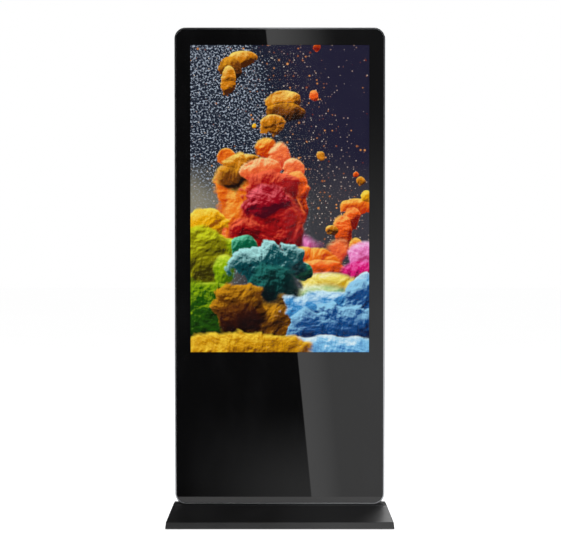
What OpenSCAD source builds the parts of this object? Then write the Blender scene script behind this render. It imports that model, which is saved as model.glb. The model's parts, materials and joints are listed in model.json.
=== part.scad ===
// Floor-standing portrait display kiosk: a slim glass-fronted body on a flared base.
// Millimetres. +Z is up, the screen faces -Y, and the origin is on the floor under the middle of the base.

/* [Screen and body] */
// Width of the visible screen
screen_w = 680; // [560:10:900]
// Height of the visible screen
screen_h = 1167; // [960:1:1400]
// Black border beside the screen
side_bezel = 60; // [56:1:90]
// Black border above the screen
top_bezel = 66; // [40:1:100]
// Height of the plain panel below the screen
lower_panel_h = 582; // [560:1:760]
// Depth of the body, from the front of the glass to the rear panel
body_d = 50; // [48:1:70]
// Radius of the body's corners
corner_r = 42; // [24:1:56]

/* [Front] */
// Thickness of the front glass
glass_t = 4; // [3:0.5:6]
// Width of the metal trim round the glass
trim_w = 6; // [4:0.5:10]
// Chamfer on the trim's front edge
trim_chamfer = 4; // [2:0.5:5]
// Thickness of the sheet metal of the casing
sheet_t = 2; // [1.5:0.5:2.5]

/* [Base] */
// How far the base stands out beyond each side of the body
base_side = 25; // [20:1:120]
// Depth of the base where it meets the feet
base_d = 420; // [300:5:560]
// Height of the lip round the base
lip_h = 25; // [18:1:40]
// How far the lip leans in from bottom to top
lip_lean = 3; // [0:1:6]
// Height of the top of the base above the floor
base_h = 65; // [55:1:90]
// Depth of the flat top of the base
plateau_d = 98; // [90:1:160]
// Thickness of the steel base plate
base_plate_t = 8; // [6:1:12]
// Diameter of a foot's pad
foot_d = 40; // [30:1:60]
// Gap between the floor and the base
foot_gap = 4; // [3:1:8]

/* [Frame] */
// Width of an upright post
post_w = 36; // [30:1:40]
// Depth of an upright post
post_d = 19; // [15:1:20]
// Wall of an upright post
post_wall = 2; // [1.5:0.5:3]
// Height of a crossbar
crossbar_h = 40; // [30:1:60]

/* [Service door] */
// Distance of the door's side edges from the body's sides
door_side = 190; // [170:1:220]
// Distance of the door's bottom edge from the bottom of the body
door_low = 120; // [110:1:150]
// Distance of the door's top edge from the bottom of the screen
door_high = 52; // [40:1:80]
// Gap round the door
door_gap = 2; // [1.5:0.5:4]
// Length of a hinge
hinge_len = 60; // [40:1:90]
// Radius of a hinge pin
pin_r = 2; // [1.5:0.25:3]

/* [Fans and speakers] */
// Size of a square fan
fan_size = 80; // [60:5:92]
// Thickness of a fan
fan_t = 15; // [12:1:16]
// Number of fan blades
fan_blades = 7; // [5:1:9]
// Distance of each fan from the middle of the body
fan_x = 150; // [100:5:200]
// Width of a speaker
speaker_w = 56; // [40:2:70]
// Height of a speaker
speaker_h = 120; // [80:2:150]

/* [Hidden] */
$fn = 48;
e = 0.3;          // clearance between pieces that only stand side by side
run = 0.06;       // radial running clearance of a shaft in its hole
cut = 1;          // how far a cutter runs past a face

body_w = screen_w + 2 * side_bezel;
body_h = lower_panel_h + screen_h + top_bezel;
body_z = base_h;
body_top = body_z + body_h;
screen_z = body_z + lower_panel_h;
screen_mid = screen_z + screen_h / 2;

// Depths, from front to back
front_y = -body_d / 2;
glass_back = front_y + glass_t;
ink_t = 0.3;
film_t = 0.3;
tape_t = 1;
flange_y = glass_back + ink_t + tape_t;
rear_y = body_d / 2;
panel_t = 1.5;
panel_in = rear_y - panel_t;
bezel_y = glass_back + ink_t + film_t + e;
bezel_t = 0.8;
cell_y = bezel_y + bezel_t;
cell_t = 1.8;
sheets_t = 2.5;
tray_y = cell_y + cell_t + sheets_t;
tray_d = 16;
tray_t = 1;
tray_back = tray_y + tray_d;
bar_d = 9;

// Front flange and display module
flange_w = 30;
rear_flange_w = 14;
casing_seam = 0.2;
module_rim = 12;
module_w = screen_w + 2 * module_rim;
module_h = screen_h + 2 * module_rim;

// Posts stand behind the display module, inside the round corners
post_x = body_w / 2 - corner_r - post_w / 2;
post_front = tray_back;
post_y = post_front + post_d / 2;
post_top = body_top - 110;
post_in = post_x - post_w / 2;
flange_t = 6;
fit_gap = 0.4;

// Base
base_w = body_w + 2 * base_side;
base_z = foot_gap;
lip_top = base_z + lip_h;
plateau_w = body_w + 12;
cover_t = 2;
plate_z = base_z + 8;
plate_top = plate_z + base_plate_t;
post_foot = plate_top + flange_t;
foot_x = base_w / 2 - 50;
foot_y = base_d / 2 - 40;
stud_r = 5;
pad_h = 6;
nut_h = 7;
nut_r = 9.2;
bolt_r = 4;
bolt_dx = post_w / 2 + 9;
bolt_dy = 11;
bolt_edge = 9;
bolt_head = 5;

// Service door and its bay
door_w = body_w - 2 * door_side;
door_z = body_z + door_low;
door_h = lower_panel_h - door_low - door_high;
door_left = -door_w / 2;
door_right = door_w / 2;
door_corner = 6;
door_return = 12;
seat_w = 14;
seat_y = rear_y - 16;
seal_t = 2.2;
leaf_t = 1.5;
knuckle_r = 4;
hinge_x = door_left - door_gap / 2;
hinge_y = rear_y + knuckle_r;
leaf_w = 24;
hinge_zs = [door_z + 60, door_z + door_h - 60 - hinge_len];
lock_x = door_right - 28;
lock_zs = [door_z + 70, door_z + door_h - 70];
lock_r = 9;
barrel_r = 6;
cam_t = 2;
cam_len = 32;
cam_y = seat_y - panel_t - 1 - cam_t;

// Bay fittings
bay_mid = door_z + door_h / 2;
kit_y = glass_back + 11;
sheet_y = kit_y - panel_t;
psu = [200, 26, 100];
psu_pos = [-80, kit_y, door_z + 30];
media = [170, 24, 130];
spacer_h = 4;
media_pos = [-80, kit_y, door_z + door_h - 190];
amp = [96, 1.6, 74];
amp_pos = [105, kit_y + spacer_h, door_z + door_h - 170];
touch_pos = [105, kit_y + spacer_h, door_z + 150];
board_t = 1.6;
fitting_z = body_z + 66;
port_x = 52 - post_in;
inlet_x = post_in - 52;
fitting_w = 116;
fitting_h = 50;
fitting_t = 1.2;
button_r = 6;
button_travel = 1.5;
rocker_tilt = 8;
rocker_y = rear_y - 2.5;
speaker_x = (door_w / 2 + post_in) / 2 + 2;
speaker_z = bay_mid + 60;
speaker_d = 22;
fan_z = body_top - 240;
fan_bore = fan_size / 2 - 2;
hub_r = 15;
axle_r = 1.5;

steel = [0.16, 0.16, 0.17];
zinc = [0.62, 0.63, 0.65];
board_green = [0.05, 0.28, 0.16];

// ---- Shared shapes ----

// Rectangle with round corners, centred
module round_rect(w, h, r) {
    square([w - 2 * r, h], center = true);
    square([w, h - 2 * r], center = true);
    for (x = [-1, 1], z = [-1, 1])
        translate([x * (w / 2 - r), z * (h / 2 - r)])
            circle(r);
}

// Rounded slot, centred, lying along X
module slot(length, width) {
    square([length - width, width], center = true);
    for (x = [-1, 1])
        translate([x * (length - width) / 2, 0])
            circle(width / 2, $fn = 24);
}

// Stands a flat outline upright: outline X stays X, outline Y becomes Z, from depth y0 to y1
module upright(y0, y1) {
    translate([0, y1, 0])
        rotate([90, 0, 0])
            linear_extrude(y1 - y0)
                children();
}

// Upright rounded panel over the body's outline, set in by inset
module body_slab(inset, y0, y1) {
    upright(y0, y1)
        translate([0, body_z + body_h / 2])
            round_rect(body_w - 2 * inset, body_h - 2 * inset, max(corner_r - inset, 1));
}

// Box given by its centre line in X, its front face in Y and its bottom in Z
module block(pos, size) {
    translate([pos[0] - size[0] / 2, pos[1], pos[2]])
        cube(size);
}

// Cylinder along Y from y0 to y1
module rod_y(x, z, r, y0, y1) {
    translate([x, y1, z])
        rotate([90, 0, 0])
            cylinder(r = r, h = y1 - y0);
}

// Tube swept along a route
function unit(v) = v / norm(v);
function heading(p, i) = unit(p[min(i + 1, len(p) - 1)] - p[max(i - 1, 0)]);
function beside(t) = unit(cross(t, abs(t[1]) < 0.7 ? [0, 1, 0] : [1, 0, 0]));
function carried(p, i) = i == 0 ? beside(heading(p, 0))
    : let (t = heading(p, i), n = carried(p, i - 1)) unit(n - (n * t) * t);

module lead(route, r, sides = 8) {
    count = len(route);
    points = [for (i = [0 : count - 1])
        let (t = heading(route, i), n = carried(route, i), m = cross(t, n))
            for (k = [0 : sides - 1])
                route[i] + r * (cos(360 * k / sides) * n + sin(360 * k / sides) * m)];
    walls = [for (i = [0 : count - 2], k = [0 : sides - 1])
        let (a = i * sides + k, b = i * sides + (k + 1) % sides)
            [a, a + sides, b + sides, b]];
    first = [for (k = [0 : sides - 1]) k];
    last = [for (k = [sides - 1 : -1 : 0]) (count - 1) * sides + k];
    polyhedron(points = points, faces = concat(walls, [first, last]));
}

// ---- Base ----

function slope_of(half_lip, half_top) = atan((base_h - lip_top) / (half_lip - half_top));

// Half section of the base, grown inwards by t
function base_half(half_bottom, half_top, t) =
    let (half_lip = half_bottom - lip_lean, a = slope_of(half_lip, half_top))
        [[half_bottom - t, base_z - (t > 0 ? cut : 0)],
         [half_lip - t, lip_top + t * tan(a) - t / cos(a)],
         [half_top - t * tan(a / 2), base_h - t]];

function mirrored(half) = concat(half, [for (i = [len(half) - 1 : -1 : 0]) [-half[i][0], half[i][1]]]);

module base_form(t) {
    intersection() {
        translate([0, base_d / 2 + cut, 0])
            rotate([90, 0, 0])
                linear_extrude(base_d + 2 * cut)
                    polygon(mirrored(base_half(base_w / 2, plateau_w / 2, t)));
        translate([-base_w / 2 - cut, 0, 0])
            rotate([90, 0, 90])
                linear_extrude(base_w + 2 * cut)
                    polygon(mirrored(base_half(base_d / 2, plateau_d / 2, t)));
    }
}

module base_cover() {
    color(steel)
        difference() {
            base_form(0);
            base_form(cover_t);
            for (x = [-post_x, post_x])
                block([x, post_front - fit_gap, base_h - 3 * cover_t],
                      [post_w + 2 * fit_gap, post_d + 2 * fit_gap, 6 * cover_t]);
        }
}

module base_plate() {
    lean = lip_lean * (plate_top - base_z) / lip_h;
    half_w = base_w / 2 - lean - cover_t - e;
    half_d = base_d / 2 - lean - cover_t - e;
    color(steel)
        difference() {
            translate([-half_w, -half_d, plate_z])
                cube([2 * half_w, 2 * half_d, base_plate_t]);
            for (x = [-foot_x, foot_x], y = [-foot_y, foot_y])
                translate([x, y, plate_z - cut])
                    cylinder(r = stud_r + run, h = base_plate_t + 2 * cut);
            for (side = [-1, 1])
                post_bolt_places(side)
                    translate([0, 0, plate_z - cut])
                        cylinder(r = bolt_r + run, h = base_plate_t + 2 * cut);
        }
}

module foot(x, y) {
    color([0.1, 0.1, 0.1])
        translate([x, y, 0])
            rotate_extrude()
                polygon([[0, 0], [foot_d / 2 - 1, 0], [foot_d / 2, 1], [foot_d / 2, pad_h - 2],
                         [foot_d / 2 - 2, pad_h], [stud_r, pad_h], [stud_r, plate_top + nut_h + 3],
                         [0, plate_top + nut_h + 3]]);
}

module foot_nuts() {
    for (x = [-foot_x, foot_x], y = [-foot_y, foot_y])
        translate([x, y, plate_top])
            difference() {
                cylinder(r = nut_r, h = nut_h, $fn = 6);
                translate([0, 0, -cut])
                    cylinder(r = stud_r + run, h = nut_h + 2 * cut);
            }
}

// ---- Frame ----

module post_bolt_places(side) {
    for (x = [-1, 1], y = [-1, 1])
        translate([side * post_x + x * bolt_dx, post_y + y * bolt_dy, 0])
            children();
}

module post(side) {
    color(steel)
        difference() {
            block([side * post_x, post_front, post_foot], [post_w, post_d, post_top - post_foot]);
            block([side * post_x, post_front + post_wall, post_foot - cut],
                  [post_w - 2 * post_wall, post_d - 2 * post_wall, post_top - post_foot + 2 * cut]);
        }
}

module post_feet() {
    color(steel)
        for (side = [-1, 1])
            difference() {
                block([side * post_x, post_y - bolt_dy - bolt_edge, plate_top],
                      [2 * (bolt_dx + bolt_edge), 2 * (bolt_dy + bolt_edge), flange_t]);
                post_bolt_places(side)
                    translate([0, 0, plate_top - cut])
                        cylinder(r = bolt_r + run, h = flange_t + 2 * cut);
            }
}

module post_bolts() {
    for (side = [-1, 1])
        post_bolt_places(side)
            rotate_extrude()
                polygon([[0, plate_z + 1], [bolt_r, plate_z + 1], [bolt_r, post_foot],
                         [3 * bolt_r / 2, post_foot], [3 * bolt_r / 2, post_foot + bolt_head],
                         [0, post_foot + bolt_head]]);
}

module base_fasteners() {
    color(zinc) {
        foot_nuts();
        post_bolts();
    }
}

module crossbars() {
    zs = [screen_z + 60, screen_mid - crossbar_h / 2, screen_z + screen_h - 100];
    color(zinc)
        for (z = zs)
            difference() {
                block([0, tray_back, z], [2 * post_in, bar_d, crossbar_h]);
                block([0, tray_back + panel_t, z + panel_t],
                      [2 * post_in + 2 * cut, bar_d, crossbar_h - 2 * panel_t]);
            }
}

// Outline of the casing ring between two insets
module casing_ring(outer, inner, y0, y1) {
    difference() {
        body_slab(outer, y0, y1);
        body_slab(inner, y0 - cut, y1 + cut);
    }
}

// Cuts across the casing ring at its four corners
module corner_seams() {
    for (x = [-1, 1], z = [-1, 1])
        translate([x * (body_w / 2 - corner_r), 0, body_z + body_h / 2 + z * (body_h / 2 - corner_r)])
            rotate([0, -atan2(z, x), 0])
                translate([-flange_w, flange_y - cut, -casing_seam / 2])
                    cube([2 * (flange_w + corner_r), body_d, casing_seam]);
}

module side_frame() {
    color(steel)
        difference() {
            union() {
                casing_ring(0, sheet_t, flange_y, panel_in);
                casing_ring(sheet_t / 2, flange_w, flange_y, flange_y + sheet_t);
                casing_ring(sheet_t / 2, rear_flange_w, panel_in - sheet_t, panel_in);
            }
            for (x = [-post_x, post_x])
                block([x, post_front - fit_gap, body_z - cut],
                      [post_w + 2 * fit_gap, post_d + 2 * fit_gap, sheet_t + 2 * cut]);
            panel_screw_places()
                rod_y(0, 0, 2 + run, panel_in - sheet_t - cut, panel_in + cut);
            corner_seams();
        }
}

// ---- Front ----

module chamfered_slab(y0, y1, chamfer) {
    w = body_w;
    h = body_h;
    side = [[-w / 2, y1], [-w / 2, y0 + chamfer], [-w / 2 + chamfer, y0], [w / 2 - chamfer, y0],
            [w / 2, y0 + chamfer], [w / 2, y1]];
    tall = [[y1, 0], [y0 + chamfer, 0], [y0, chamfer], [y0, h - chamfer], [y0 + chamfer, h], [y1, h]];
    translate([0, 0, body_z]) {
        translate([0, 0, corner_r])
            linear_extrude(h - 2 * corner_r)
                polygon(side);
        translate([-w / 2 + corner_r, 0, 0])
            rotate([90, 0, 90])
                linear_extrude(w - 2 * corner_r)
                    polygon(tall);
        for (x = [-1, 1], z = [corner_r, h - corner_r])
            translate([x * (w / 2 - corner_r), y1, z])
                rotate([90, 0, 0])
                    rotate_extrude()
                        polygon([[0, 0], [corner_r, 0], [corner_r, y1 - y0 - chamfer],
                                 [corner_r - chamfer, y1 - y0], [0, y1 - y0]]);
    }
}

module trim_frame() {
    color([0.55, 0.56, 0.58])
        difference() {
            chamfered_slab(front_y, flange_y, trim_chamfer);
            body_slab(trim_w, front_y - cut, flange_y + cut);
        }
}

glass_inset = trim_w + e;

module front_glass() {
    color([0.02, 0.02, 0.02])
        body_slab(glass_inset, front_y, glass_back);
}

module screen_window(grow, y0, y1) {
    upright(y0, y1)
        translate([0, screen_mid])
            square([screen_w + 2 * grow, screen_h + 2 * grow], center = true);
}

module printed_border() {
    color([0.01, 0.01, 0.01])
        difference() {
            body_slab(glass_inset, glass_back, glass_back + ink_t);
            screen_window(0, glass_back - cut, glass_back + ink_t + cut);
        }
}

module touch_film() {
    color([0.3, 0.32, 0.35])
        screen_window(8, glass_back + ink_t, glass_back + ink_t + film_t);
}

module glass_tape() {
    color([0.1, 0.1, 0.1])
        casing_ring(glass_inset + 1, flange_w - 2, glass_back + ink_t, flange_y);
}

// ---- Display module ----

module module_slab(inset, y0, y1) {
    block([0, y0, screen_mid - module_h / 2 + inset], [module_w - 2 * inset, y1 - y0, module_h - 2 * inset]);
}

module lcd_bezel() {
    color([0.2, 0.2, 0.2])
        difference() {
            module_slab(0, bezel_y, tray_y + 6);
            module_slab(bezel_t, cell_y, tray_y + 6 + cut);
            screen_window(0, bezel_y - cut, cell_y + cut);
        }
}

module lcd_cell() {
    color([0.12, 0.14, 0.3])
        module_slab(bezel_t + e, cell_y, cell_y + cell_t);
}

module optical_sheets() {
    color([0.92, 0.93, 0.95])
        module_slab(bezel_t + e, cell_y + cell_t, tray_y);
}

module backlight_tray() {
    inset = bezel_t + e;
    color(zinc)
        difference() {
            module_slab(inset, tray_y, tray_back);
            module_slab(inset + tray_t, tray_y + tray_t, tray_back - tray_t);
            module_slab(inset + 8, tray_y - cut, tray_y + 2 * tray_t);
        }
}

led_rows = 8;
led_columns = 6;

module led_strips() {
    floor_y = tray_back - tray_t;
    color([0.9, 0.9, 0.85])
        for (row = [0 : led_rows - 1]) {
            z = screen_z + screen_h * (row + 0.5) / led_rows;
            block([0, floor_y - 1.2, z - 6], [screen_w - 30, 1.2, 12]);
            for (column = [0 : led_columns - 1])
                rod_y((column - (led_columns - 1) / 2) * screen_w / led_columns, z, 5, floor_y - 4, floor_y - 1.2);
        }
}

// Circuit board with a few parts on it: bare size, then [x, z, w, h, depth] of each part
module circuit_board(pos, size, parts) {
    color(board_green) {
        block(pos, size);
        for (p = parts)
            block([pos[0] + p[0], pos[1] + size[1], pos[2] + p[1]], [p[2], p[4], p[3]]);
    }
}

timing_size = [220, board_t, 60];
timing_pos = [0, tray_back + spacer_h, screen_z + 150];
driver_size = [180, board_t, 80];
driver_pos = [0, tray_back + spacer_h, screen_mid + 200];

module timing_board() {
    circuit_board(timing_pos, timing_size, [[0, 18, 22, 22, 2], [-60, 24, 10, 10, 2], [70, 8, 50, 8, 4]]);
}

module led_driver_board() {
    circuit_board(driver_pos, driver_size,
                  [[-50, 25, 26, 30, 10], [0, 25, 26, 30, 10], [55, 20, 14, 14, 8], [70, 55, 30, 10, 5]]);
}

touch_size = [70, board_t, 40];
touch_controller_parts = [[-10, 12, 12, 12, 1.5], [22, 14, 8, 18, 4]];

module touch_controller() {
    circuit_board(touch_pos, touch_size, touch_controller_parts);
}

module amplifier_board() {
    circuit_board(amp_pos, amp, [[-20, 20, 20, 28, 12], [18, 26, 14, 14, 2], [34, 50, 18, 12, 6]]);
}

// Four spacers under the corners of a board
module corner_spacers(pos, size, y0) {
    for (x = [-1, 1], z = [6, size[2] - 6])
        rod_y(pos[0] + x * (size[0] / 2 - 6), pos[2] + z, 3, y0, pos[1]);
}

module board_spacers() {
    color([0.7, 0.6, 0.3]) {
        corner_spacers(timing_pos, timing_size, tray_back);
        corner_spacers(driver_pos, driver_size, tray_back);
        corner_spacers(amp_pos, amp, kit_y);
        corner_spacers(touch_pos, touch_size, kit_y);
    }
}

// ---- Equipment in the bay ----

module equipment_tray() {
    low = body_z + flange_w + 5;
    high = screen_z - 20;
    width = 2 * (post_in - e);
    color(zinc)
        difference() {
            block([0, sheet_y, low], [width, post_front + post_d * 0.6 - sheet_y, high - low]);
            block([0, kit_y, low - cut], [width - 2 * panel_t, body_d, high - low + 2 * cut]);
            for (x = [-1, 1])
                upright(sheet_y - cut, kit_y + cut)
                    translate([x * (post_in - 60), low + 60])
                        slot(60, 12);
        }
}

module media_box() {
    color([0.25, 0.25, 0.27])
        difference() {
            block(media_pos, media);
            translate([0, panel_t, panel_t])
                block(media_pos, media - [2 * panel_t, 2 * panel_t, 2 * panel_t]);
            for (i = [-4 : 4])
                upright(kit_y + media[1] - 2 * panel_t, kit_y + media[1] + cut)
                    translate([media_pos[0] + i * 12, media_pos[2] + media[2] / 2])
                        rotate(90)
                            slot(60, 4);
            block([media_pos[0] - 40, kit_y + 6, media_pos[2] + media[2] - 3 * panel_t], [30, 10, 6 * panel_t]);
        }
}

module media_board() {
    board = media - [12, 0, 12];
    circuit_board([media_pos[0], kit_y + panel_t, media_pos[2] + 6], [board[0], board_t, board[2]],
                  [[0, 40, 30, 30, 3], [0, 48, 16, 14, 8], [-50, 20, 34, 20, 3], [52, 70, 24, 20, 8]]);
}

module power_supply() {
    color([0.5, 0.5, 0.52])
        difference() {
            block(psu_pos, psu);
            translate([0, panel_t, panel_t])
                block(psu_pos, psu - [2 * panel_t, 2 * panel_t, 2 * panel_t]);
            for (x = [-7 : 7], z = [0 : 3])
                rod_y(psu_pos[0] + x * 11, psu_pos[2] + 28 + z * 14, 3, kit_y + psu[1] - 2 * panel_t,
                      kit_y + psu[1] + cut);
        }
}

// Plate that closes a cut-out in the rear panel from inside
module fitting_plate(x) {
    difference() {
        block([x, panel_in - fitting_t, fitting_z - fitting_h / 2 - 8],
              [fitting_w + 16, fitting_t, fitting_h + 16]);
        children();
    }
}

usb_x = [-18, 2];
network_x = -42;
button_x = 36;
usb_size = [14, 14, 7.4];
network_size = [16, 16, 14];
wall = 0.8;

// Outer boxes of the sockets, grown by g
module socket_boxes(g) {
    for (x = usb_x)
        block([port_x + x, panel_in - usb_size[1], fitting_z - usb_size[2] / 2 - g],
              [usb_size[0] + 2 * g, usb_size[1] + 1, usb_size[2] + 2 * g]);
    block([port_x + network_x, panel_in - network_size[1], fitting_z - network_size[2] / 2 - g],
          [network_size[0] + 2 * g, network_size[1] + 1, network_size[2] + 2 * g]);
}

module port_plate() {
    color([0.45, 0.46, 0.48])
        fitting_plate(port_x) {
            socket_boxes(fit_gap / 2);
            rod_y(port_x + button_x, fitting_z, button_r + 2 + run, panel_in - 4, panel_in + cut);
        }
}

module port_sockets() {
    color([0.7, 0.71, 0.73])
        difference() {
            socket_boxes(0);
            for (x = usb_x)
                block([port_x + x, panel_in - usb_size[1] + 2, fitting_z - usb_size[2] / 2 + wall],
                      [usb_size[0] - 2 * wall, usb_size[1], usb_size[2] - 2 * wall]);
            block([port_x + network_x, panel_in - network_size[1] + 2, fitting_z - network_size[2] / 2 + 2],
                  [network_size[0] - 4, network_size[1], network_size[2] - 4]);
        }
}

module button_housing() {
    x = port_x + button_x;
    color([0.1, 0.1, 0.1])
        difference() {
            union() {
                rod_y(x, fitting_z, button_r + 2, panel_in - 16, panel_in + 0.1);
                rod_y(x, fitting_z, button_r + 3.5, panel_in, panel_in + 2);
            }
            rod_y(x, fitting_z, button_r + run, panel_in - 8, panel_in + 2 + cut);
        }
}

module power_button() {
    x = port_x + button_x;
    back = panel_in + 2 + button_travel + 0.5;
    color([0.55, 0.56, 0.58])
        translate([x, back, fitting_z])
            rotate([90, 0, 0])
                rotate_extrude()
                    polygon([[0, 0.4], [button_r - 2.5, 0.4], [button_r - 2, 0], [button_r - 0.6, 0],
                             [button_r, 0.6], [button_r, 9], [0, 9]]);
}

inlet_dx = -22;
switch_dx = 32;
inlet_size = [28, 22, 21];
switch_size = [22, 16, 26];

module inlet_plate() {
    color([0.45, 0.46, 0.48])
        fitting_plate(inlet_x) {
            block([inlet_x + inlet_dx, panel_in - 4, fitting_z - inlet_size[2] / 2 - fit_gap / 2],
                  [inlet_size[0] + fit_gap, 8, inlet_size[2] + fit_gap]);
            block([inlet_x + switch_dx, panel_in - 4, fitting_z - switch_size[2] / 2 - fit_gap / 2],
                  [switch_size[0] + fit_gap, 8, switch_size[2] + fit_gap]);
        }
}

module power_inlet() {
    x = inlet_x + inlet_dx;
    cavity = [24, inlet_size[1], 16.5];
    color([0.05, 0.05, 0.05])
        difference() {
            union() {
                block([x, panel_in - inlet_size[1] + 1, fitting_z - inlet_size[2] / 2], inlet_size);
                upright(panel_in, panel_in + 1.4)
                    translate([x, fitting_z])
                        round_rect(50, 25, 4);
            }
            upright(panel_in - inlet_size[1] + 5, panel_in + 3)
                translate([x, fitting_z])
                    polygon([[-cavity[0] / 2, -cavity[2] / 2], [cavity[0] / 2, -cavity[2] / 2],
                             [cavity[0] / 2, cavity[2] / 2 - 5], [cavity[0] / 2 - 5, cavity[2] / 2],
                             [5 - cavity[0] / 2, cavity[2] / 2], [-cavity[0] / 2, cavity[2] / 2 - 5]]);
        }
    color("silver")
        for (pin = [[-7, -2], [0, 3], [7, -2]])
            block([x + pin[0], panel_in - inlet_size[1] + 5, fitting_z + pin[1] - 2], [2, 12, 4]);
}

module switch_housing() {
    x = inlet_x + switch_dx;
    color([0.05, 0.05, 0.05])
        difference() {
            union() {
                block([x, panel_in - switch_size[1] + 1, fitting_z - switch_size[2] / 2], switch_size);
                upright(panel_in, panel_in + 1.6)
                    translate([x, fitting_z])
                        round_rect(switch_size[0] + 4, switch_size[2] + 4, 2);
            }
            block([x, rear_y - 13, fitting_z - switch_size[2] / 2 + 3],
                  [switch_size[0] - 6, 20, switch_size[2] - 6]);
            translate([x, rocker_y, fitting_z])
                rotate([0, 90, 0])
                    cylinder(r = 1.5 + run, h = switch_size[0] - 1, center = true);
        }
}

module power_rocker() {
    x = inlet_x + switch_dx;
    half = switch_size[2] / 2 - 4.6;
    width = switch_size[0] - 7;
    color([0.5, 0.04, 0.04])
        translate([x, rocker_y, fitting_z])
            rotate([rocker_tilt, 0, 0]) {
                rotate([90, 0, 90])
                    translate([0, 0, -width / 2])
                        linear_extrude(width)
                            polygon([[-5, -4], [2, -half], [4.6, -half], [3.2, 0], [4.6, half], [2, half],
                                     [-5, 4]]);
                rotate([0, 90, 0])
                    cylinder(r = 1.5, h = switch_size[0] - 2, center = true);
            }
}

// ---- Fans and speakers ----

module fan_at(side) {
    translate([side * fan_x, panel_in, fan_z])
        rotate([90, 0, 0])
            children();
}

// Built lying down, with its outlet face on z = 0
module fan_frame(side) {
    hole = fan_size / 2 - 4.5;
    color([0.07, 0.07, 0.07])
        fan_at(side)
            difference() {
                union() {
                    difference() {
                        linear_extrude(fan_t)
                            round_rect(fan_size, fan_size, 4);
                        translate([0, 0, -cut])
                            cylinder(r = fan_bore, h = fan_t + 2 * cut);
                    }
                    translate([0, 0, fan_t - 2.5])
                        cylinder(r = hub_r, h = 2.5);
                    for (a = [45, 135, 225])
                        rotate(a)
                            translate([hub_r - 1, -2, fan_t - 2.5])
                                cube([fan_bore - hub_r + 2, 4, 2.5]);
                    translate([0, 0, 4])
                        cylinder(r = axle_r, h = fan_t - 5);
                }
                for (x = [-1, 1], z = [-1, 1])
                    translate([x * hole, z * hole, -cut])
                        cylinder(r = 2.1, h = fan_t + 2 * cut);
            }
}

module fan_rotor(side) {
    hub_h = fan_t - 5;
    color([0.09, 0.09, 0.1])
        fan_at(side)
            difference() {
                union() {
                    translate([0, 0, 1.5])
                        cylinder(r = hub_r - 0.5, h = hub_h);
                    intersection() {
                        translate([0, 0, 1.5])
                            cylinder(r = fan_bore - 1, h = hub_h);
                        for (i = [0 : fan_blades - 1])
                            rotate(360 * i / fan_blades)
                                translate([hub_r - 2, 0, 1.5 + hub_h / 2])
                                    rotate([38, 0, 0])
                                        translate([0, -9, -0.6])
                                            cube([fan_bore - hub_r + 4, 18, 1.2]);
                    }
                }
                translate([0, 0, 3])
                    cylinder(r = axle_r + run, h = fan_t);
            }
}

module speaker(side) {
    color([0.08, 0.08, 0.08])
        translate([side * speaker_x, 0, speaker_z]) {
            difference() {
                upright(panel_in - speaker_d, panel_in)
                    round_rect(speaker_w, speaker_h, 12);
                upright(panel_in - 6, panel_in + cut)
                    round_rect(speaker_w - 10, speaker_h - 10, 8);
                upright(panel_in - speaker_d + 2, panel_in - 7)
                    round_rect(speaker_w - 4, speaker_h - 4, 10);
            }
            translate([0, panel_in - 4, 0])
                rotate([90, 0, 0])
                    cylinder(r1 = speaker_w / 2 - 6, r2 = speaker_w / 4, h = 2.2);
        }
}

// ---- Rear panel ----

module panel_screw_places() {
    inset = rear_flange_w / 2 + 1;
    rows = 6;
    pitch = (body_h - 2 * corner_r) / rows;
    for (x = [-1, 1], i = [0 : rows])
        translate([x * (body_w / 2 - inset), 0, body_z + corner_r + i * pitch])
            children();
    for (x = [-0.25, 0.25], z = [body_z + inset, body_top - inset])
        translate([x * body_w, 0, z])
            children();
}

// Outline of the door opening, grown by g
module door_outline(g) {
    translate([0, door_z + door_h / 2])
        round_rect(door_w + 2 * g, door_h + 2 * g, max(door_corner + g, 1));
}

module vent_field(x, z, columns, rows, length) {
    for (i = [0 : columns - 1], j = [0 : rows - 1])
        translate([x + (i - (columns - 1) / 2) * 12, z + (j - (rows - 1) / 2) * (length + 10)])
            rotate(90)
                slot(length, 4.4);
}

module rear_panel() {
    color(steel)
        difference() {
            union() {
                body_slab(0, panel_in, rear_y);
                upright(seat_y, rear_y - panel_t / 2)
                    difference() {
                        door_outline(door_gap + panel_t);
                        door_outline(door_gap);
                    }
                upright(seat_y - panel_t, seat_y)
                    difference() {
                        door_outline(door_gap + panel_t);
                        door_outline(door_gap - seat_w);
                    }
            }
            upright(panel_in - cut, rear_y + cut)
                door_outline(door_gap);
            upright(panel_in - cut, rear_y + cut) {
                for (side = [-1, 1]) {
                    vent_field(side * fan_x, fan_z, 6, 1, fan_size - 14);
                    vent_field(side * speaker_x, speaker_z, 4, 1, speaker_h - 30);
                }
                vent_field(0, screen_mid - 120, 16, 1, 46);
                vent_field(0, body_z + 66, 8, 1, 46);
            }
            for (x = [port_x, inlet_x])
                block([x, panel_in - cut, fitting_z - fitting_h / 2], [fitting_w, panel_t + 2 * cut, fitting_h]);
            panel_screw_places()
                rod_y(0, 0, 2.2, panel_in - cut, rear_y + cut);
        }
}

module panel_screws() {
    color([0.2, 0.2, 0.2])
        panel_screw_places()
            translate([0, rear_y + 2.2, 0])
                rotate([90, 0, 0])
                    rotate_extrude()
                        polygon([[0, 0.9], [1.6, 0.9], [1.6, 0], [2.4, 0], [3.8, 1.2], [4, 2.2], [2, 2.2],
                                 [2, 2.2 + panel_t + sheet_t + 1], [0, 2.2 + panel_t + sheet_t + 1]]);
}

// ---- Service door ----

module service_door() {
    color(steel)
        difference() {
            union() {
                upright(panel_in, rear_y)
                    door_outline(0);
                upright(rear_y - door_return, rear_y - panel_t / 2)
                    difference() {
                        door_outline(0);
                        door_outline(-panel_t);
                    }
            }
            for (z = lock_zs)
                rod_y(lock_x, z, lock_r + run, panel_in - cut, rear_y + cut);
        }
}

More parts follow.
